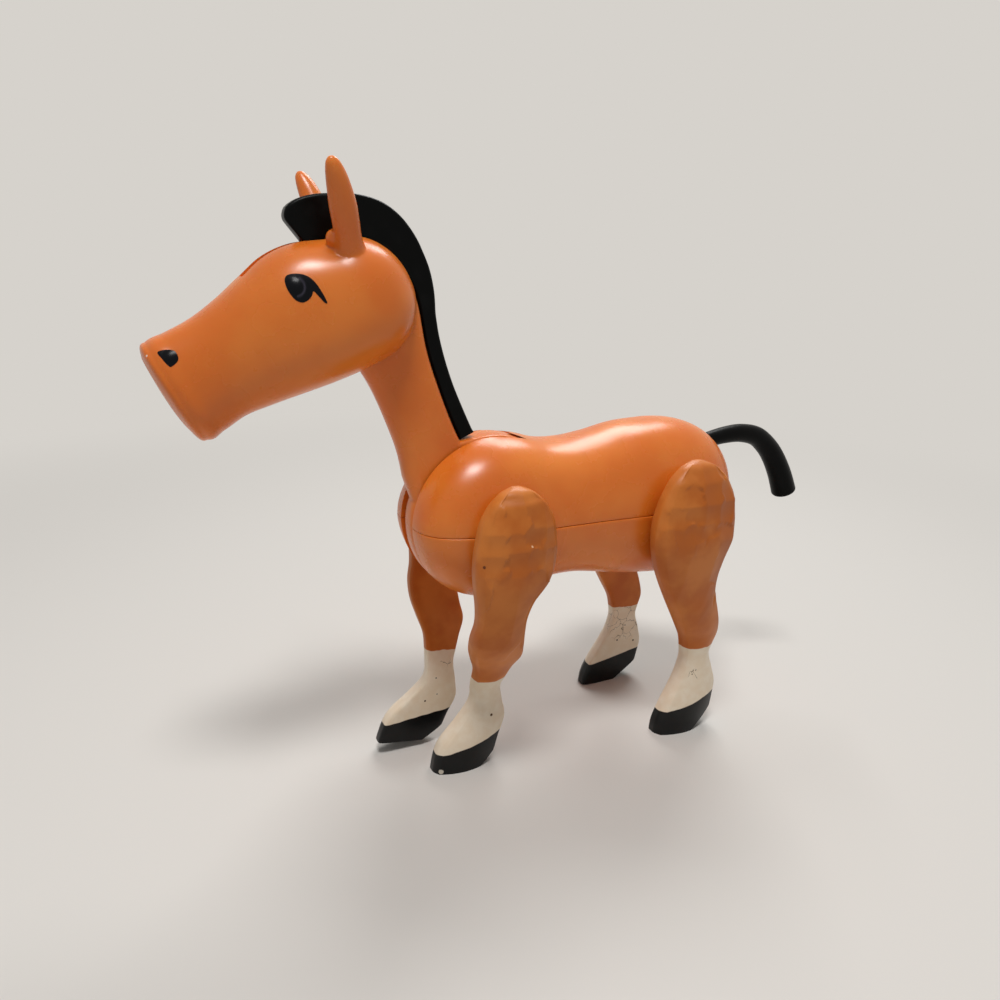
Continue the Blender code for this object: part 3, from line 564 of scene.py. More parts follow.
# Neck: a plate with a disc at its foot, rounder along its front edge than along the mane
neck = {
    "thickness": 4.8,
    "rimRadius": 13.4,
    "hubRadius": 9.5,
    "rimFront": (262, 163),
    "topFront": 256,
    "rimBack": 102,
    "rimEnd": 62,
    "hubEnd": -98,
    "topRadius": 7.8,
    "bladeFoot": 13.7,
    "bladeTop": 33.54,
    "maneFront": 131,
    "napeStart": 40,
    "frontRound": 2.2,
    "rimRound": 1.5,
    "backRound": 1.0,
    "hubRound": 0.5,
    "roundPasses": 12,
    "pinBore": 1.8,
    "edgeShares": (
        (0.00, 0.590, 0.164),
        (0.20, 0.485, 0.206),
        (0.44, 0.405, 0.274),
        (0.72, 0.340, 0.376),
        (1.00, 0.330, 0.537),
    ),
}


# Plate with rounded edges, one rounding radius for each point of its outline; the rounding dies
# away at sharp outward corners, and a narrow level band keeps the flat faces flat in shading
def roundedPlate(name, profile, rounding, halfThickness, steps=6, band=0.12, sharpest=0.7, growth=0.7,
                 mitre=0.3):
    count = len(profile)
    area = sum(profile[k - 1].x * profile[k].z - profile[k].x * profile[k - 1].z for k in range(count))
    turning = copysign(1, area)
    normals = []
    for k in range(count):
        way = (profile[(k + 1) % count] - profile[k]).normalized() * turning
        normals.append(Vector((way.z, 0, -way.x)))
    outwards, corners = [], []
    for k in range(count):
        before, after = normals[k - 1], normals[k]
        outwards.append((before + after) / max(mitre, 1 + before.dot(after)))
        bend = (before.x * after.z - before.z * after.x) * turning
        if before.dot(after) < sharpest and bend > 0:
            corners.append(profile[k])
    radii = []
    for point, radius in zip(profile, rounding):
        nearest = min([(point - corner).length for corner in corners] + [radius * 2])
        radii.append(min(radius, band + growth * nearest))
    turns = [pi / 2 * k / steps for k in range(steps + 1)]
    section = [(1 - cos(turn), 1 - sin(turn), 0) for turn in turns] + [(1, 0, band)]
    rings = []
    for sign in (-1, 1):
        for inset, drop, extra in (reversed(section) if sign < 0 else section):
            ring = []
            for point, outward, radius in zip(profile, outwards, radii):
                level = halfThickness - radius * drop
                ring.append(point - outward * (radius * inset + extra) + sideways * sign * level)
            rings.append(ring)
    return skin(name, rings)


def bladeEdge(column, sign, points=44):
    table = neck["edgeShares"]
    edge = []
    for s in np.linspace(0, 1, points):
        height = neck["bladeFoot"] + (neck["bladeTop"] - neck["bladeFoot"]) * s
        reach = neck["rimRadius"] * sign * along(table, s)[column]
        edge.append(frontAxle + neckUp * height + neckBack * reach)
    return edge


# Curve that leaves one edge and meets the next along their own directions
def napeLine(before, leave, arrive, after, points=16):
    wayOut, wayIn, span = leave - before, after - arrive, arrive - leave
    turn = wayOut.x * wayIn.z - wayOut.z * wayIn.x
    corner = leave + wayOut * ((span.x * wayIn.z - span.z * wayIn.x) / turn)
    shares = [k / points for k in range(1, points)]
    return [leave * (1 - t) ** 2 + corner * 2 * t * (1 - t) + arrive * t ** 2 for t in shares]


def crestLine():
    top = arc(headPivot, neck["topRadius"], neck["maneFront"], neck["napeStart"])
    back = list(reversed(bladeEdge(1, 1)))
    return top + napeLine(*top[-2:], *back[:2]) + back


def makeNeck():
    parts = (
        (arc(frontAxle, neck["rimRadius"], *neck["rimFront"]), neck["rimRound"]),
        (bladeEdge(0, -1), neck["frontRound"]),
        (arc(headPivot, neck["topRadius"], neck["topFront"], neck["maneFront"])[:-1], neck["frontRound"]),
        (crestLine(), neck["backRound"]),
        (arc(frontAxle, neck["rimRadius"], neck["rimBack"], neck["rimEnd"]), neck["hubRound"]),
        (arc(frontAxle, neck["hubRadius"], neck["rimEnd"], neck["hubEnd"]), neck["hubRound"]),
    )
    profile = [point for points, radius in parts for point in points]
    rounding = np.array([radius for points, radius in parts for point in points])
    for _ in range(neck["roundPasses"]):
        rounding = (np.roll(rounding, 1) + rounding + np.roll(rounding, -1)) / 3
    made = roundedPlate("neck_skin", profile, rounding, neck["thickness"] / 2)
    for pivot in (frontAxle, headPivot):
        through = sideways * neck["thickness"]
        combine(made, rod("bore", pivot - through, pivot + through, neck["pinBore"]))
    return made


finish(makeNeck(), "neck", ["neck"], bodyPlastic)


# Mane: a black strip that follows the crest and stands high over the poll
mane = {
    "thickness": 2.6,
    "width": 4.0,
    "edgeRound": 0.5,
    "tipRound": 0.9,
    "tipSteps": 6,
    "widthShares": (
        (0.00, 1.575),
        (0.02, 1.720),
        (0.04, 1.740),
        (0.07, 1.670),
        (0.10, 1.580),
        (0.15, 1.530),
        (0.20, 1.480),
        (0.24, 1.360),
        (0.28, 1.200),
        (0.31, 1.090),
        (0.38, 0.890),
        (0.43, 0.740),
        (0.49, 0.600),
        (0.55, 0.575),
        (0.63, 0.583),
        (0.78, 0.570),
        (0.90, 0.610),
        (1.00, 0.625),
    ),
}


def makeMane():
    crest = crestLine()
    lengths = [0]
    for a, b in zip(crest, crest[1:]):
        lengths.append(lengths[-1] + (b - a).length)
    inner, outer = [], []
    for k, point in enumerate(crest):
        tangent = (crest[min(k + 1, len(crest) - 1)] - crest[max(k - 1, 0)]).normalized()
        away = Vector((-tangent.z, 0, tangent.x))
        width = mane["width"] * along(mane["widthShares"], lengths[k] / lengths[-1])[0]
        inner.append(point + away * stance["runningGap"])
        outer.append(point + away * (stance["runningGap"] + width))
    tip = outer[0]
    kept = [p for p in outer if (p - tip).length > mane["tipRound"]]
    begin = tip + (inner[0] - tip).normalized() * mane["tipRound"]
    shares = [k / mane["tipSteps"] for k in range(mane["tipSteps"])]
    corner = [begin * (1 - t) ** 2 + tip * 2 * t * (1 - t) + kept[0] * t ** 2 for t in shares]
    profile = inner + list(reversed(corner + kept))
    return roundedPlate("mane_skin", profile, [mane["edgeRound"]] * len(profile), mane["thickness"] / 2)


finish(makeMane(), "neck", ["mane"], manePlastic)
print("neck and mane made")


# Head: a ball that tapers to a square-cut snout, in two halves round the neck's top
head = {
    "tilt": 26.2,
    "ballRadius": 8.6,
    "length": 27.64,
    "wall": 1.3,
    "power": 2.2,
    "seamGap": 0.04,
    "seamRound": 0.06,
    "noseDome": 0.28,
    "noseSteps": (0.82, 0.6, 0.38, 0.18, 0.07),
    "rings": (26, 70),
    "hollowRings": (10, 22),
    "hollowPoints": 40,
    "ballStart": 3,
    "slotStart": -118,
    "slotEnd": 167,
    "slotReach": 17.0,
    "maneSlotStart": 90,
    "maneSlotHalfWidth": 1.6,
    "pocketClearance": 0.5,
    "boreReach": 1.2,
    "shares": (
        (0.00, 1.090, 0.985, 0.980),
        (0.14, 1.235, 0.965, 1.000),
        (0.29, 1.250, 0.915, 0.975),
        (0.44, 1.120, 0.845, 0.890),
        (0.59, 0.985, 0.775, 0.765),
        (0.74, 0.900, 0.725, 0.665),
        (0.86, 0.890, 0.770, 0.635),
        (0.945, 0.890, 0.780, 0.640),
        (0.985, 0.830, 0.650, 0.555),
        (1.00, 0.700, 0.430, 0.400),
    ),
}
headTilt = radians(head["tilt"])
headAlong = Vector((-cos(headTilt), 0, -sin(headTilt)))
headUp = Vector((-sin(headTilt), 0, cos(headTilt)))


def headStations(inset, ballRings, faceRings):
    ball = head["ballRadius"] - inset
    stations = []
    up, down, across = head["shares"][0][1:]
    for k in range(ballRings):
        turn = radians(head["ballStart"] + (90 - head["ballStart"]) * k / ballRings)
        size = ball * sin(turn)
        stations.append((-ball * cos(turn), size * up, size * down, size * across))
    for k in range(faceRings + 1):
        share = sin(pi / 2 * k / faceRings)
        grown = [head["ballRadius"] * value - inset for value in along(head["shares"], share)]
        stations.append(((head["length"] - inset) * share, *grown))
    reach, up, down, across = stations[-1]
    for s in head["noseSteps"]:
        stations.append((reach + head["noseDome"] * (1 - s * s), up * s, down * s, across * s))
    return stations


def halfRing(reach, up, down, wide, side, points=72):
    level = head["seamGap"] / 2 + head["seamRound"]
    first = acos(min(1, (level / wide) ** (head["power"] / 2)))
    ring = []
    for k in range(points + 1):
        angle = first - 2 * first * k / points
        s = sin(angle)
        z = (up if s > 0 else down) * squareOff(s, head["power"])
        ring.append((wide * squareOff(cos(angle), head["power"]), z))
    corner = seamCorner(head["seamRound"])
    top = [(level - drop, ring[0][1] - back) for back, drop in corner]
    bottom = [(level - drop, ring[-1][1] + back) for back, drop in corner]
    loop = list(reversed(top)) + ring + bottom
    return [headPivot + headAlong * reach + headUp * z + sideways * y * side for y, z in loop]


# Sector about the head's pivot, open to the outside from start to end and closed round a pocket elsewhere
def slotSector(name, start, end, reach, pocket, halfThickness):
    openSide = arc(headPivot, reach, start, end, 3)
    closedSide = arc(headPivot, pocket, end, start + 360, 3)
    return plate(name, openSide + closedSide, halfThickness)


# Ears: slightly bowed fingers with a flared root, and a small lobe in front of each
ear = {
    "height": 12.8,
    "radius": 1.9,
    "flattenShare": 0.85,
    "rootShare": 0.90,
    "baseAngle": 103,
    "spread": 36,
    "splay": 25,
    "lean": 17,
    "lobeRadius": 1.2,
    "lobeForward": 2.1,
    "lobeRise": 2.3,
    "rings": 48,
    "points": 36,
    "voxel": 0.14,
    "seatRings": (20, 50),
    "seatInset": 0.07,
    "seatReach": 5.2,
    "blendTo": 6.5,
    "blendLength": 2,
    "blendFactor": 0.5,
    "tipBlend": 0.08,
    "blendPasses": 60,
    "shares": (
        (-0.20, 1.50, 0.000),
        (-0.08, 1.36, 0.000),
        (0.00, 1.20, 0.000),
        (0.08, 1.05, -0.004),
        (0.16, 0.97, -0.010),
        (0.38, 0.95, -0.020),
        (0.56, 0.92, -0.022),
        (0.70, 0.82, -0.020),
        (0.82, 0.70, -0.015),
        (0.91, 0.55, -0.008),
        (0.97, 0.37, -0.002),
        (1.00, 0.18, 0.000),
    ),
}


def ballForm(name, centre, radius, levels=24, points=40):
    rings = []
    for k in range(1, levels):
        turn = pi * k / levels
        size = radius * sin(turn)
        circle = outline(points, size, size, size, 2)
        rings.append([centre + Vector((a, b, radius * cos(turn))) for a, b in circle])
    return skin(name, rings)


def makeEar(side):
    angle, spread = radians(ear["baseAngle"]), radians(ear["spread"])
    out = Vector((cos(angle) * cos(spread), side * sin(spread), sin(angle) * cos(spread)))
    root = headPivot + out * head["ballRadius"] * ear["rootShare"]
    axis = Vector((-sin(radians(ear["lean"])), side * sin(radians(ear["splay"])), 1)).normalized()
    across = axis.cross(sideways).normalized()
    inward = axis.cross(across)
    rings = []
    low = ear["shares"][0][0]
    for k in range(ear["rings"] + 1):
        share = low + (1 - low) * sin(pi / 2 * k / ear["rings"])
        radius, drift = along(ear["shares"], share)
        centre = root + axis * ear["height"] * share + across * ear["height"] * drift
        size = ear["radius"] * radius
        rings.append([centre + across * a + inward * b * ear["flattenShare"]
                      for a, b in outline(ear["points"], size, size, size, 2)])
    lobeCentre = root + Vector((-ear["lobeForward"], 0, ear["lobeRise"]))
    made = combine(skin("ear", rings), ballForm("lobe", lobeCentre, ear["lobeRadius"]), "UNION")
    stations = headStations(ear["seatInset"], *ear["seatRings"])
    seat = skin("seat", [halfRing(*station, side) for station in stations])
    combine(seat, ballForm("reach", root, ear["seatReach"]), "INTERSECT")
    combine(made, seat, "UNION")
    step = made.modifiers.new("One skin", "REMESH")
    step.mode = "VOXEL"
    step.voxel_size = ear["voxel"] * mm
    evaluated(made)
    heights = (perVertex(made, "co") / mm - np.array(root)) @ np.array(axis)
    group = made.vertex_groups.new(name="foot")
    for k, weight in enumerate(1 - smoothStep(heights, ear["blendTo"] - ear["blendLength"], ear["blendTo"])):
        group.add([k], max(weight, ear["tipBlend"]), "REPLACE")
    step = made.modifiers.new("Blended", "SMOOTH")
    step.factor = ear["blendFactor"]
    step.iterations = ear["blendPasses"]
    step.vertex_group = "foot"
    return evaluated(made)


def makeHeadHalf(name, side):
    made = skin(name, [halfRing(*station, side) for station in headStations(0, *head["rings"])])
    inner = []
    for reach, up, down, wide in headStations(head["wall"], *head["hollowRings"])[:-len(head["noseSteps"])]:
        inner.append([headPivot + headAlong * reach + headUp * z + sideways * y
                      for y, z in outline(head["hollowPoints"], wide, up, down, head["power"])])
    hollow = skin("hollow", inner)
    wall, half = body["cheekWall"], body["slotHalfWidth"]
    start, end, reach = head["slotStart"], head["slotEnd"], head["slotReach"]
    pocket = neck["topRadius"] + head["pocketClearance"]
    widen = degrees(wall / neck["topRadius"])
    housing = slotSector("housing", start - widen, end + widen, reach + wall, pocket + wall, half + wall)
    combine(hollow, housing)
    combine(made, hollow)
    combine(made, makeEar(side), "UNION")
    combine(made, slotSector("slot", start, head["maneSlotStart"], reach, pocket, half))
    inside = (start + head["maneSlotStart"]) / 2
    combine(made, slotSector("slot", inside, end, reach, neck["topRadius"], head["maneSlotHalfWidth"]))
    through = sideways * (body["slotHalfWidth"] + body["cheekWall"] + head["boreReach"])
    combine(made, rod("bore", headPivot - through, headPivot + through, neck["pinBore"]))
    return made


headSkins = {}
for word, side in (("left", -1), ("right", 1)):
    made = makeHeadHalf(f"head_{word}_skin", side)
    headSkins[side] = finish(made, "head", [f"head_{word}_half"], bodyPlastic)


# Painted eyes and nostrils: outlines along the nose and upwards, laid on the head's own surface
face = {
    "lift": 0.05,
    "sink": 0.10,
    "grid": 0.16,
    "weld": 1e-5,
    "rayStart": 20,
    "eye": {"middle": (7.35, 6.35), "radius": 1.05, "rise": 0.16, "shape": (
        (7.92, 7.44), (7.37, 7.77), (6.54, 7.61), (5.66, 7.10), (5.12, 6.46), (4.84, 5.61),
        (4.75, 4.48), (4.80, 3.06), (5.10, 3.14), (5.41, 4.29), (5.62, 4.89), (6.00, 4.57),
        (6.65, 4.28), (7.45, 4.27), (8.04, 4.81), (8.27, 5.80), (8.19, 6.74),
    )},
    "ringWidth": 0.36,
    "ringPast": (0.3, 0.6),
    "nostril": {"middle": (24.4, 5.2), "radius": 0.9, "rise": 0.14, "shape": (
        (25.55, 6.20), (25.02, 6.26), (24.36, 6.00), (23.73, 5.54), (23.70, 4.88), (24.06, 4.42),
        (25.04, 4.21), (25.32, 4.64), (25.46, 5.45),
    )},
}


# Closed curve through the points of an outline
def flowing(points, steps=6):
    found = []
    count = len(points)
    for k in range(count):
        a, b, c, d = [Vector(points[(k + n - 1) % count]) for n in range(4)]
        for n in range(steps):
            t = n / steps
            found.append((b * 2 + (c - a) * t + (a * 2 - b * 5 + c * 4 - d) * t ** 2
                          + (b * 3 - a - c * 3 + d) * t ** 3) / 2)
    return found


def makePatch(name, feature, side):
    middle, radius = feature["middle"], feature["radius"]
    rim = flowing(feature["shape"])
    lows = [min(p[i] for p in rim) for i in (0, 1)]
    highs = [max(p[i] for p in rim) for i in (0, 1)]
    grid = [Vector((x, z)) for x in np.arange(lows[0], highs[0], face["grid"])
            for z in np.arange(lows[1], highs[1], face["grid"])]
    edges = [(k, (k + 1) % len(rim)) for k in range(len(rim))]
    laid = delaunay_2d_cdt(rim + grid, edges, [], 1, face["weld"])
    flat, triangles = laid[0], laid[2]
    used = sorted({k for t in triangles for k in t})
    order = {k: n for n, k in enumerate(used)}
    ground = bmesh.new()
    ground.from_mesh(headSkins[side].data)
    surface = BVHTree.FromBMesh(ground)
    outer, inner, ring = [], [], []
    for k in used:
        reach, height = flat[k]
        start = headPivot + headAlong * reach + headUp * height + sideways * side * face["rayStart"]
        hit, normal = surface.ray_cast(start * mm, -sideways * side)[:2]
        away = (flat[k] - Vector(middle)).length
        bulge = feature["rise"] * max(0, 1 - (away / radius) ** 2)
        outer.append(hit / mm + normal * (face["lift"] + bulge))
        inner.append(hit / mm - normal * face["sink"])
        # Painted reflection: a crescent of the band just outside the middle's radius, away from the nose and
        # low, marked for the face paint to lighten
        band = 1 - abs(away - radius - face["ringWidth"] / 2) / (face["ringWidth"] / 2)
        past = [at - centre for at, centre in zip((reach, height), middle)]
        ring.append(max(0, band) if all(p < limit for p, limit in zip(past, face["ringPast"])) else 0)
    ground.free()
    count = len(used)
    faces = [[order[k] for k in t] for t in triangles]
    sides = {}
    for t in faces:
        for a, b in zip(t, t[1:] + t[:1]):
            sides[frozenset((a, b))] = (a, b) if frozenset((a, b)) not in sides else None
    walls = [(b, a, a + count, b + count) for a, b in filter(None, sides.values())]
    made = newMesh(name, outer + inner, faces + [[k + count for k in reversed(t)] for t in faces] + walls)
    setAttribute(made, "ring", ring + [0] * count)
    made.data.materials.append(facePaint)
    made.data.shade_smooth()
    made.data.set_sharp_from_angle(angle=radians(50))
    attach(made, "head")


for word, side in (("left", -1), ("right", 1)):
    for part in ("eye", "nostril"):
        makePatch(f"{word}_{part}", face[part], side)
print("head made")


# Legs: flat inside, domed outside with a bevelled rim and hand-carved facets on the thigh
leg = {
    "inside": 12.136,
    "thickness": 4.38,
    "bulgeShare": 0.62,
    "innerPower": 8.0,
    "rimShare": 0.86,
    "rimRise": 0.60,
    "rimPower": 0.55,
    "shaftRadius": 2.2,
    "shaftEnd": 6.236,
    "shaftRoot": 2,
    "heelChamfer": 38,
    "cutReach": 30,
    "cutDepth": 20,
    "floorReach": 40,
    "facets": {"Size": 3.5, "Depth": 0.26, "Radius": 9.0, "Tilt": 0.30, "Height": 1.0},
    "panels": {"Size": 5.5, "Depth": 0.16, "Radius": 26.0, "Tilt": 0.22, "Height": 2.4},
    "sockTop": 16.5,
    "ringPoints": 140,
    "domedPart": 0.66,
    "rings": 190,
    "topSteps": (0.004, 0.002),
    "facing": (0.35, 0.75),
    "facetsBlend": (-3, 2),
    "panelsBlend": (20, 26),
    "cellJitter": 0.85,
    "front": {
        "axle": frontAxle, "thighDepth": 6.4, "footOffset": 2.9, "soleEnd": -3.2,
        "hoofSlope": 0.235, "hoofTop": 5.75, "facetsFrom": 38.5, "patternShift": 0.0,
        "shares": (
            (1.186, -0.025, 0.10, 0.00, 0.20),
            (1.176, -0.025, 0.30, 0.00, 0.45),
            (1.150, -0.025, 0.56, 0.00, 0.68),
            (1.095, -0.026, 0.84, 0.00, 0.90),
            (1.000, -0.028, 1.01, 0.00, 1.00),
            (0.920, -0.032, 1.04, 0.00, 1.02),
            (0.835, -0.040, 0.94, 0.02, 1.00),
            (0.770, -0.057, 0.75, 0.06, 0.96),
            (0.695, -0.063, 0.66, 0.14, 0.92),
            (0.625, -0.063, 0.70, 0.26, 0.92),
            (0.555, -0.051, 0.71, 0.42, 0.94),
            (0.500, -0.034, 0.68, 0.56, 0.86),
            (0.435, -0.032, 0.51, 0.72, 0.76),
            (0.385, -0.037, 0.44, 0.83, 0.76),
            (0.350, -0.041, 0.40, 0.90, 0.76),
            (0.265, -0.035, 0.45, 0.99, 0.80),
            (0.190, -0.056, 0.69, 1.00, 0.88),
            (0.115, -0.102, 0.84, 1.00, 0.94),
            (0.020, -0.131, 0.85, 1.00, 0.94),
            (-0.060, -0.150, 0.76, 1.00, 0.92),
        ),
    },
    "rear": {
        "axle": rearAxle, "thighDepth": 7.4, "footOffset": 8.6, "soleEnd": 5.8,
        "hoofSlope": 0.24, "hoofTop": 4.3, "facetsFrom": 41.0, "patternShift": 0.37,
        "shares": (
            (1.212, 0.024, 0.10, 0.00, 0.20),
            (1.200, 0.024, 0.32, 0.00, 0.45),
            (1.168, 0.024, 0.60, 0.00, 0.70),
            (1.100, 0.024, 0.89, 0.00, 0.92),
            (0.990, 0.020, 1.09, 0.00, 1.00),
            (0.890, 0.022, 1.09, 0.02, 1.02),
            (0.800, 0.026, 0.94, 0.14, 1.00),
            (0.720, 0.042, 0.79, 0.31, 0.98),
            (0.640, 0.070, 0.68, 0.47, 0.94),
            (0.560, 0.110, 0.63, 0.62, 0.94),
            (0.500, 0.139, 0.59, 0.72, 0.88),
            (0.430, 0.164, 0.51, 0.84, 0.76),
            (0.385, 0.163, 0.43, 0.91, 0.76),
            (0.350, 0.162, 0.38, 0.95, 0.76),
            (0.275, 0.168, 0.48, 1.00, 0.82),
            (0.205, 0.164, 0.64, 1.00, 0.88),
            (0.130, 0.141, 0.74, 1.00, 0.94),
            (0.050, 0.118, 0.80, 1.00, 0.96),
            (-0.060, 0.100, 0.72, 1.00, 0.94),
        ),
    },
}


# Height of the domed face, from 1 at its middle to 0 at the leg's edge, with a break at the rim
def domeRise(reach):
    if reach < leg["rimShare"]:
        return leg["rimRise"] + (1 - leg["rimRise"]) * (1 - (reach / leg["rimShare"]) ** 2)
    rest = (1 - reach) / (1 - leg["rimShare"])
    return leg["rimRise"] * rest ** leg["rimPower"]


# One level of a leg, from its row: height, shift along, depth, how far in it stands, thickness
def legRing(end, side, row):
    height, shift, depth, inward, thick = row
    axle = end["axle"]
    tall = stance["axleHeight"]
    inner = leg["inside"] + (end["footOffset"] - leg["inside"]) * inward
    bulge = leg["thickness"] * thick * leg["bulgeShare"]
    base = leg["thickness"] * thick - bulge
    ring = []
    count = leg["ringPoints"]
    domed = count * leg["domedPart"]
    for k in range(count):
        if k < domed:
            reach = cos(pi * (k + 0.5) / domed)
            out = bulge * domeRise(abs(reach))
        else:
            angle = pi * (1 + (k + 0.5 - domed) / (count - domed))
            reach = squareOff(cos(angle), leg["innerPower"])
            out = base * squareOff(sin(angle), leg["innerPower"])
        ring.append(Vector((axle.x + tall * shift + end["thighDepth"] * depth * reach,
                            side * (inner + base + out), tall * height)))
    return ring


# A tree takes a shape, named numbers and a finish; it ends in plain geometry with its material set
def newTree(name, numbers):
    tree = bpy.data.node_groups.new(name, "GeometryNodeTree")
    rows = [("Shape", "INPUT", "Geometry")] + [(number, "INPUT", "Float") for number in numbers]
    for label, way, kind in rows + [("Finish", "INPUT", "Material"), ("Shape", "OUTPUT", "Geometry")]:
        tree.interface.new_socket(name=label, in_out=way, socket_type="NodeSocket" + kind)
    return tree, addNode(tree, "NodeGroupInput")


def endTree(tree, source, shape):
    plain = addNode(tree, "GeometryNodeRealizeInstances", inputs={0: shape})[0]
    painted = addNode(tree, "GeometryNodeSetMaterial", inputs={0: plain, "Material": source["Finish"]})[0]
    addNode(tree, "NodeGroupOutput", inputs={"Shape": painted})


def growNodes(item, tree, values):
    step = item.modifiers.new(tree.name, "NODES")
    step.node_group = tree
    for socket in tree.interface.items_tree:
        if socket.in_out == "INPUT" and socket.name in values:
            step[socket.identifier] = values[socket.name]
    return evaluated(item)


# Carved thigh: each cell is a flat cut with its own lean, small ones under the rim and broad upright
# ones below; the lower of the two nearest cuts wins, which leaves a ridge where they meet
def carvingTree():
    kinds = ("facets", "panels")
    tree, source = newTree("Hand-carved thigh", [f"{kind} {name}" for kind in kinds for name in leg[kind]]
                           + ["Pattern Shift"])
    place = addNode(tree, "GeometryNodeInputPosition")[0]
    spread = addNode(tree, "SeparateXYZ", inputs={0: place})
    shift = addNode(tree, "CombineXYZ", inputs={0: source["Pattern Shift"]})[0]
    shaped = source["Shape"]
    depth = 0.0
    for kind in kinds:
        size, deep, radius, tilt, tall = [source[f"{kind} {name}"] for name in leg[kind]]
        lower = addNode(tree, "Math", over, {0: spread["Z"], 1: tall})[0]
        flat = addNode(tree, "CombineXYZ", inputs={0: spread["X"], 1: lower})[0]
        moved = addNode(tree, "VectorMath", plus, {0: flat, 1: shift})[0]
        finer = addNode(tree, "Math", over, {0: 1.0, 1: size})[0]
        grid = addNode(tree, "VectorMath", scaled, {0: moved, 3: finer})[0]
        twice = addNode(tree, "Math", times, {0: radius, 1: 2.0})[0]
        levels, paintedShades = [], []
        for nearest in ("F1", "F2"):
            cell = addNode(tree, "TexVoronoi", {"voronoi_dimensions": "2D", "feature": nearest},
                           {"Vector": grid, "Scale": 1.0, "Randomness": leg["cellJitter"]})
            steps = addNode(tree, "VectorMath", minus, {0: grid, 1: cell["Position"]})[0]
            away = addNode(tree, "VectorMath", scaled, {0: steps, 3: size})[0]
            lot = addNode(tree, "VectorMath", minus, {0: cell["Color"], 1: (0.5, 0.5, 0.5)})[0]
            slope = addNode(tree, "VectorMath", scaled, {0: lot, 3: tilt})[0]
            lean = addNode(tree, "VectorMath", dot, {0: slope, 1: away})["Value"]
            squared = addNode(tree, "VectorMath", dot, {0: away, 1: away})["Value"]
            rise = addNode(tree, "Math", over, {0: squared, 1: twice})[0]
            level = addNode(tree, "Math", plus, {0: lean, 1: rise})[0]
            levels.append(addNode(tree, "Math", minus, {0: level, 1: deep})[0])
            # The cell's upward lean also becomes its painted shade, higher for cuts that face down
            paintedShades.append(addNode(tree, "SeparateXYZ", inputs={0: cell["Color"]})["Y"])
        lowered = addNode(tree, "Math", lowest, {0: levels[0], 1: levels[1]})[0]
        second = addNode(tree, "Math", {"operation": "LESS_THAN"}, {0: levels[1], 1: levels[0]})[0]
        paintedShade = addNode(tree, "Mix", byFloat, {0: second, 2: paintedShades[0], 3: paintedShades[1]})[0]
        allowed = addNode(tree, "GeometryNodeInputNamedAttribute", byFloat, {"Name": kind})[0]
        share = addNode(tree, "Math", times, {0: lowered, 1: allowed})[0]
        depth = addNode(tree, "Math", plus, {0: share, 1: depth})[0]
        masked = addNode(tree, "Math", times, {0: paintedShade, 1: allowed})[0]
        shaped = addNode(tree, "GeometryNodeStoreNamedAttribute", byFloat,
                         {"Geometry": shaped, "Name": kind + "Tone", "Value": masked})[0]
    depth = addNode(tree, "Math", lowest, {0: depth, 1: 0.0})[0]
    normal = addNode(tree, "GeometryNodeInputNormal")[0]
    offset = addNode(tree, "VectorMath", scaled, {0: normal, 3: depth})[0]
    endTree(tree, source, addNode(tree, "GeometryNodeSetPosition",
                                  inputs={"Geometry": shaped, "Offset": offset})[0])
    return tree


def makeLeg(name, end, side, step, tree):
    table = sorted(end["shares"])
    foot, top = table[0][0], table[-1][0]
    rings = [top + (foot - top) * k / leg["rings"] for k in range(leg["rings"] + 1)]
    rings = sorted(set(rings + [top - below for below in leg["topSteps"]]), reverse=True)
    made = skin(name, [legRing(end, side, (share, *along(table, share))) for share in rings])
    axle = end["axle"]
    far, deep, wide = leg["cutReach"], leg["cutDepth"], leg["floorReach"]
    rise = deep * tan(radians(leg["heelChamfer"]))
    ground = Vector((axle.x, 0, 0))
    heel = end["soleEnd"]
    corners = ((-far, 0), (heel, 0), (heel + deep, rise), (heel + deep, -deep), (-far, -deep))
    combine(made, plate("ground", [ground + Vector((x, 0, z)) for x, z in corners], far))
    out = sideways * side
    root = axle + out * (leg["inside"] + leg["shaftRoot"])
    shaft = rod("shaft", root, axle + out * leg["shaftEnd"], leg["shaftRadius"])
    combine(made, shaft, "UNION")
    swing = Matrix.Rotation(radians(step), 3, "Y")
    centre = axle * mm
    made.data.transform(Matrix.Translation(centre) @ swing.to_4x4() @ Matrix.Translation(-centre))
    if step:
        corners = ((-wide, 0), (wide, 0), (wide, -deep), (-wide, -deep))
        combine(made, plate("floor", [ground + Vector((x, 0, z)) for x, z in corners], far))
    middle = np.array(axle)
    standing = (perVertex(made, "co") / mm - middle) @ np.array(swing) + middle
    facing = smoothStep(perVertex(made, "normal")[:, 1] * side, *leg["facing"])
    z = standing[:, 2]
    small = smoothStep(z, *[end["facetsFrom"] + past for past in leg["facetsBlend"]])
    setAttribute(made, "facets", facing * small)
    setAttribute(made, "panels", facing * (1 - small) * smoothStep(z, *leg["panelsBlend"]))
    setAttribute(made, "aboveSock", z - leg["sockTop"])
    setAttribute(made, "aboveHoof", z - end["hoofTop"] - end["hoofSlope"] * (standing[:, 0] - axle.x))
    home = made.data.attributes.new("standingPlace", "FLOAT_VECTOR", "POINT")
    home.data.foreach_set("vector", (standing * mm).astype(np.float32).ravel())
    values = {"Pattern Shift": end["patternShift"], "Finish": legPlastic}
    for kind in ("facets", "panels"):
        for name, value in leg[kind].items():
            values[f"{kind} {name}"] = value if name in ("Tilt", "Height") else value * mm
    return growNodes(made, tree, values)


carving = carvingTree()
for place in ("front", "rear"):
    for word, side in (("left", -1), ("right", 1)):
        node = f"{place}_{word}_leg"
        step = stance[f"right{place.capitalize()}Step"] if side > 0 else 0
        made = makeLeg(node + "_skin", leg[place], side, step, carving)
        finish(made, node, [node], sharp=50)
print("legs made")


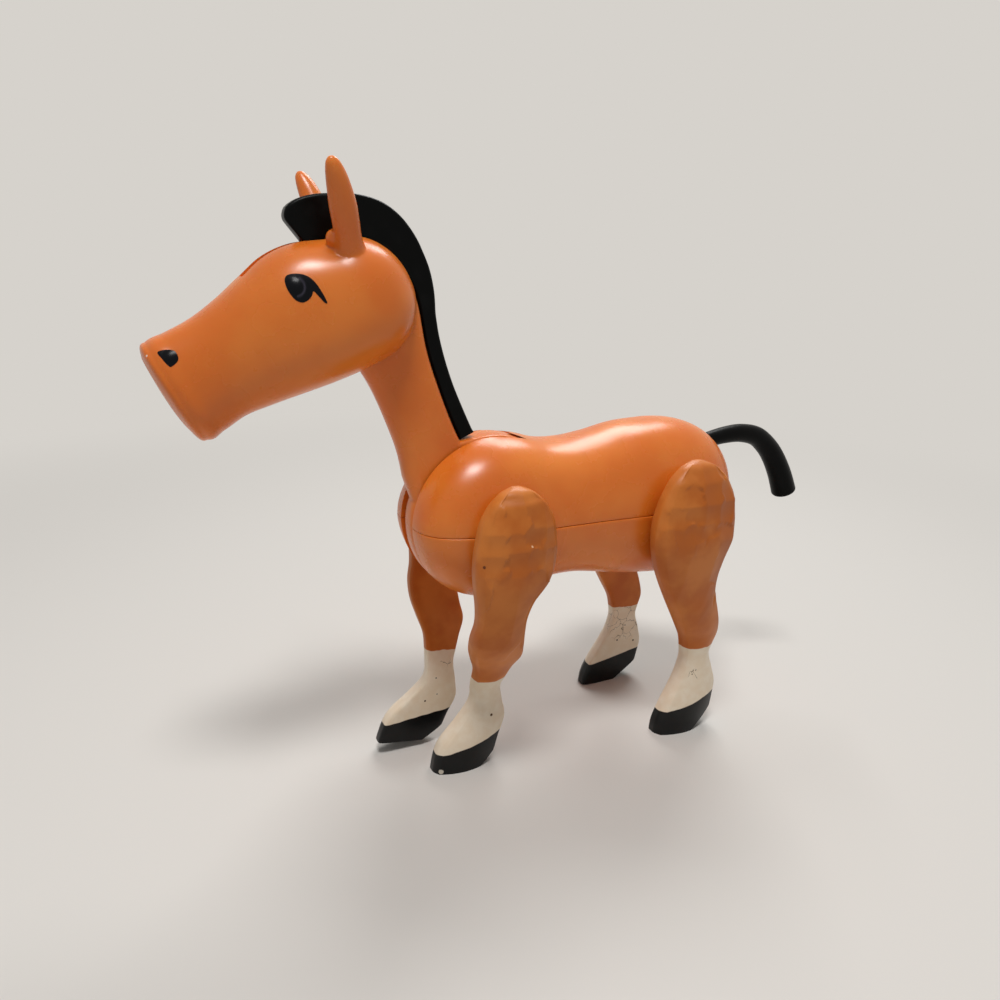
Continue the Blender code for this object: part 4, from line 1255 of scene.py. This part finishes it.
# Tail: a soft round tube that thickens towards a flat end
tail = {
    "rootRadius": 1.2,
    "endRadius": 2.35,
    "length": 21.3,
    "drop": 12.1,
    "steps": 60,
    "ringPoints": 48,
    "seatLength": 3.2,
    "swellPower": 0.8,
    "endRound": 0.5,
    "endSteps": 4,
    "endAngle": 38,
    "pathShares": (
        (0.00, 0.000, 0.000),
        (0.15, 0.192, -0.052),
        (0.31, 0.394, -0.059),
        (0.45, 0.573, 0.020),
        (0.57, 0.704, 0.188),
        (0.71, 0.817, 0.413),
        (0.85, 0.915, 0.686),
        (1.00, 1.000, 1.000),
    ),
}


def tailStart():
    up = body["backShares"][-1][1]
    heightShare = body["tailHeight"] / (body["halfHeight"] * up)
    reachShare = (1 - heightShare ** body["rumpPower"]) ** (1 / body["rumpPower"])
    return rearAxle + Vector((body["rumpLength"] * reachShare, 0, body["tailHeight"]))


# The tree sweeps a circle along the path and swells it from root to end
def tailTree():
    tree, source = newTree("Swelling tube", ("Root Radius", "End Radius", "Swell Power"))
    curve = addNode(tree, "GeometryNodeMeshToCurve", inputs={0: source["Shape"]})[0]
    share = addNode(tree, "GeometryNodeSplineParameter")["Factor"]
    swell = addNode(tree, "Math", {"operation": "POWER"}, {0: share, 1: source["Swell Power"]})[0]
    radius = addNode(tree, "MapRange", inputs={"Value": swell, "To Min": source["Root Radius"],
                                               "To Max": source["End Radius"]})["Result"]
    ring = addNode(tree, "GeometryNodeCurvePrimitiveCircle",
                   inputs={"Resolution": tail["ringPoints"], "Radius": 1.0})[0]
    endTree(tree, source, addNode(tree, "GeometryNodeCurveToMesh", inputs={
        "Curve": curve, "Profile Curve": ring, "Fill Caps": True, "Scale": radius})[0])
    return tree


def makeTail():
    start = tailStart()
    points = [start - Vector((tail["seatLength"], 0, 0))]
    for k in range(tail["steps"] + 1):
        reach, drop = along(tail["pathShares"], k / tail["steps"])
        points.append(start + Vector((tail["length"] * reach, 0, -tail["drop"] * drop)))
    mesh = bpy.data.meshes.new("tail_skin")
    mesh.from_pydata([tuple(p * mm) for p in points], [(k, k + 1) for k in range(len(points) - 1)], [])
    made = addObject("tail_skin", mesh)
    growNodes(made, tailTree(), {"Root Radius": tail["rootRadius"] * mm, "End Radius": tail["endRadius"] * mm,
                                 "Swell Power": tail["swellPower"], "Finish": tailPlastic})
    step = made.modifiers.new("Edge rounding", "BEVEL")
    step.width = tail["endRound"] * mm
    step.segments = tail["endSteps"]
    step.limit_method = "ANGLE"
    step.angle_limit = radians(tail["endAngle"])
    return evaluated(made)


finish(makeTail(), "tail", ["tail"])
print("tail made")

# Hidden pins and retainers keep their solids
for name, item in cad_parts.items():
    if name.endswith(("_pin", "_retainer")):
        item.data.materials.clear()
        item.data.materials.append(bodyPlastic)


# Floor, lamps and camera
studio = {
    "floorReach": 3000.0,
    "floorColour": "#D6D2CC",
    "floorRoughness": 0.9,
    "fadeStart": 120.0,
    "fadeEnd": 330.0,
    "camera": (-59.05, -106.2, 81.0),
    "yaw": 26.0,
    "pitch": 17.0,
    "roll": 1.4,
    "lens": 27.18,
    "sensor": 36,
    "clip": (0.005, 20),
    "roomStrength": 0.24,
    "viewTransform": "Standard",
    "lamps": {
        "windowBehind": {"place": (190, 230, 440), "size": (240, 200), "watts": 1.35},
        "ceilingSoftbox": {"place": (-75, -120, 420), "size": (110, 80), "watts": 0.95},
    },
}


# One for the rays that see the background: straight from the camera, or by way of gloss and glass
def seesBackground(tree):
    rays = addNode(tree, "LightPath")
    seen = rays["Is Camera Ray"]
    for kind in ("Is Glossy Ray", "Is Transmission Ray"):
        seen = addNode(tree, "Math", {"operation": "MAXIMUM"}, {0: seen, 1: rays[kind]})[0]
    return seen


# The floor takes the shadow near the toy and turns into the even backdrop further out
def makeFloor():
    mesh = bpy.data.meshes.new("floor")
    reach = studio["floorReach"] * mm
    corners = ((-1, -1), (1, -1), (1, 1), (-1, 1))
    mesh.from_pydata([(x * reach, y * reach, 0) for x, y in corners], [], [(0, 1, 2, 3)])
    made, tree = newMaterial("Plain pale floor")
    colour = studio["floorColour"]
    place = addNode(tree, "TexCoord")["Object"]
    away = addNode(tree, "VectorMath", {"operation": "LENGTH"}, {0: place})["Value"]
    far = addNode(tree, "MapRange", smoothly, {"Value": away, "From Min": studio["fadeStart"] * mm,
                                               "From Max": studio["fadeEnd"] * mm})[0]
    share = addNode(tree, "Math", times, {0: far, 1: seesBackground(tree)})[0]
    matt = addNode(tree, "BsdfPrincipled",
                   inputs={"Base Color": colour, "Roughness": studio["floorRoughness"]})[0]
    even = addNode(tree, "Emission", inputs={"Color": colour, "Strength": 1.0})[0]
    mixed = addNode(tree, "MixShader", inputs={0: share, 1: matt, 2: even})[0]
    addNode(tree, "OutputMaterial", inputs={"Surface": mixed})
    mesh.materials.append(made)
    addObject("floor", mesh)


def aim(item, place, look, roll=0):
    item.location = Vector(place) * mm
    item.rotation_mode = "QUATERNION"
    item.rotation_quaternion = look.to_track_quat("-Z", "Y") @ Quaternion((0, 0, 1), radians(roll))


def makeLamp(name, lamp):
    light = bpy.data.lights.new(name, "AREA")
    light.shape = "RECTANGLE"
    light.size, light.size_y = [side * mm for side in lamp["size"]]
    light.energy = lamp["watts"]
    aim(addObject(name, light), lamp["place"], frontAxle - Vector(lamp["place"]))


def makeWorld():
    world = bpy.data.worlds.new("Soft room")
    bpy.context.scene.world = world
    world.use_nodes = True
    tree = world.node_tree
    tree.nodes.clear()
    room = addNode(tree, "Background", inputs={"Color": "#FFFFFF", "Strength": studio["roomStrength"]})[0]
    backdrop = addNode(tree, "Background", inputs={"Color": studio["floorColour"], "Strength": 1.0})[0]
    mixed = addNode(tree, "MixShader", inputs={0: seesBackground(tree), 1: room, 2: backdrop})[0]
    addNode(tree, "OutputWorld", inputs={"Surface": mixed})


def makeCamera():
    data = bpy.data.cameras.new("camera")
    data.sensor_width = studio["sensor"]
    data.lens = studio["lens"]
    data.clip_start, data.clip_end = studio["clip"]
    camera = addObject("camera", data)
    bpy.context.scene.camera = camera
    yaw, pitch = radians(studio["yaw"]), radians(studio["pitch"])
    look = Vector((sin(yaw) * cos(pitch), cos(yaw) * cos(pitch), -sin(pitch)))
    aim(camera, studio["camera"], look, studio["roll"])


makeFloor()
makeWorld()
for name, lamp in studio["lamps"].items():
    makeLamp(name, lamp)
makeCamera()
bpy.context.scene.view_settings.view_transform = studio["viewTransform"]
print("studio made")
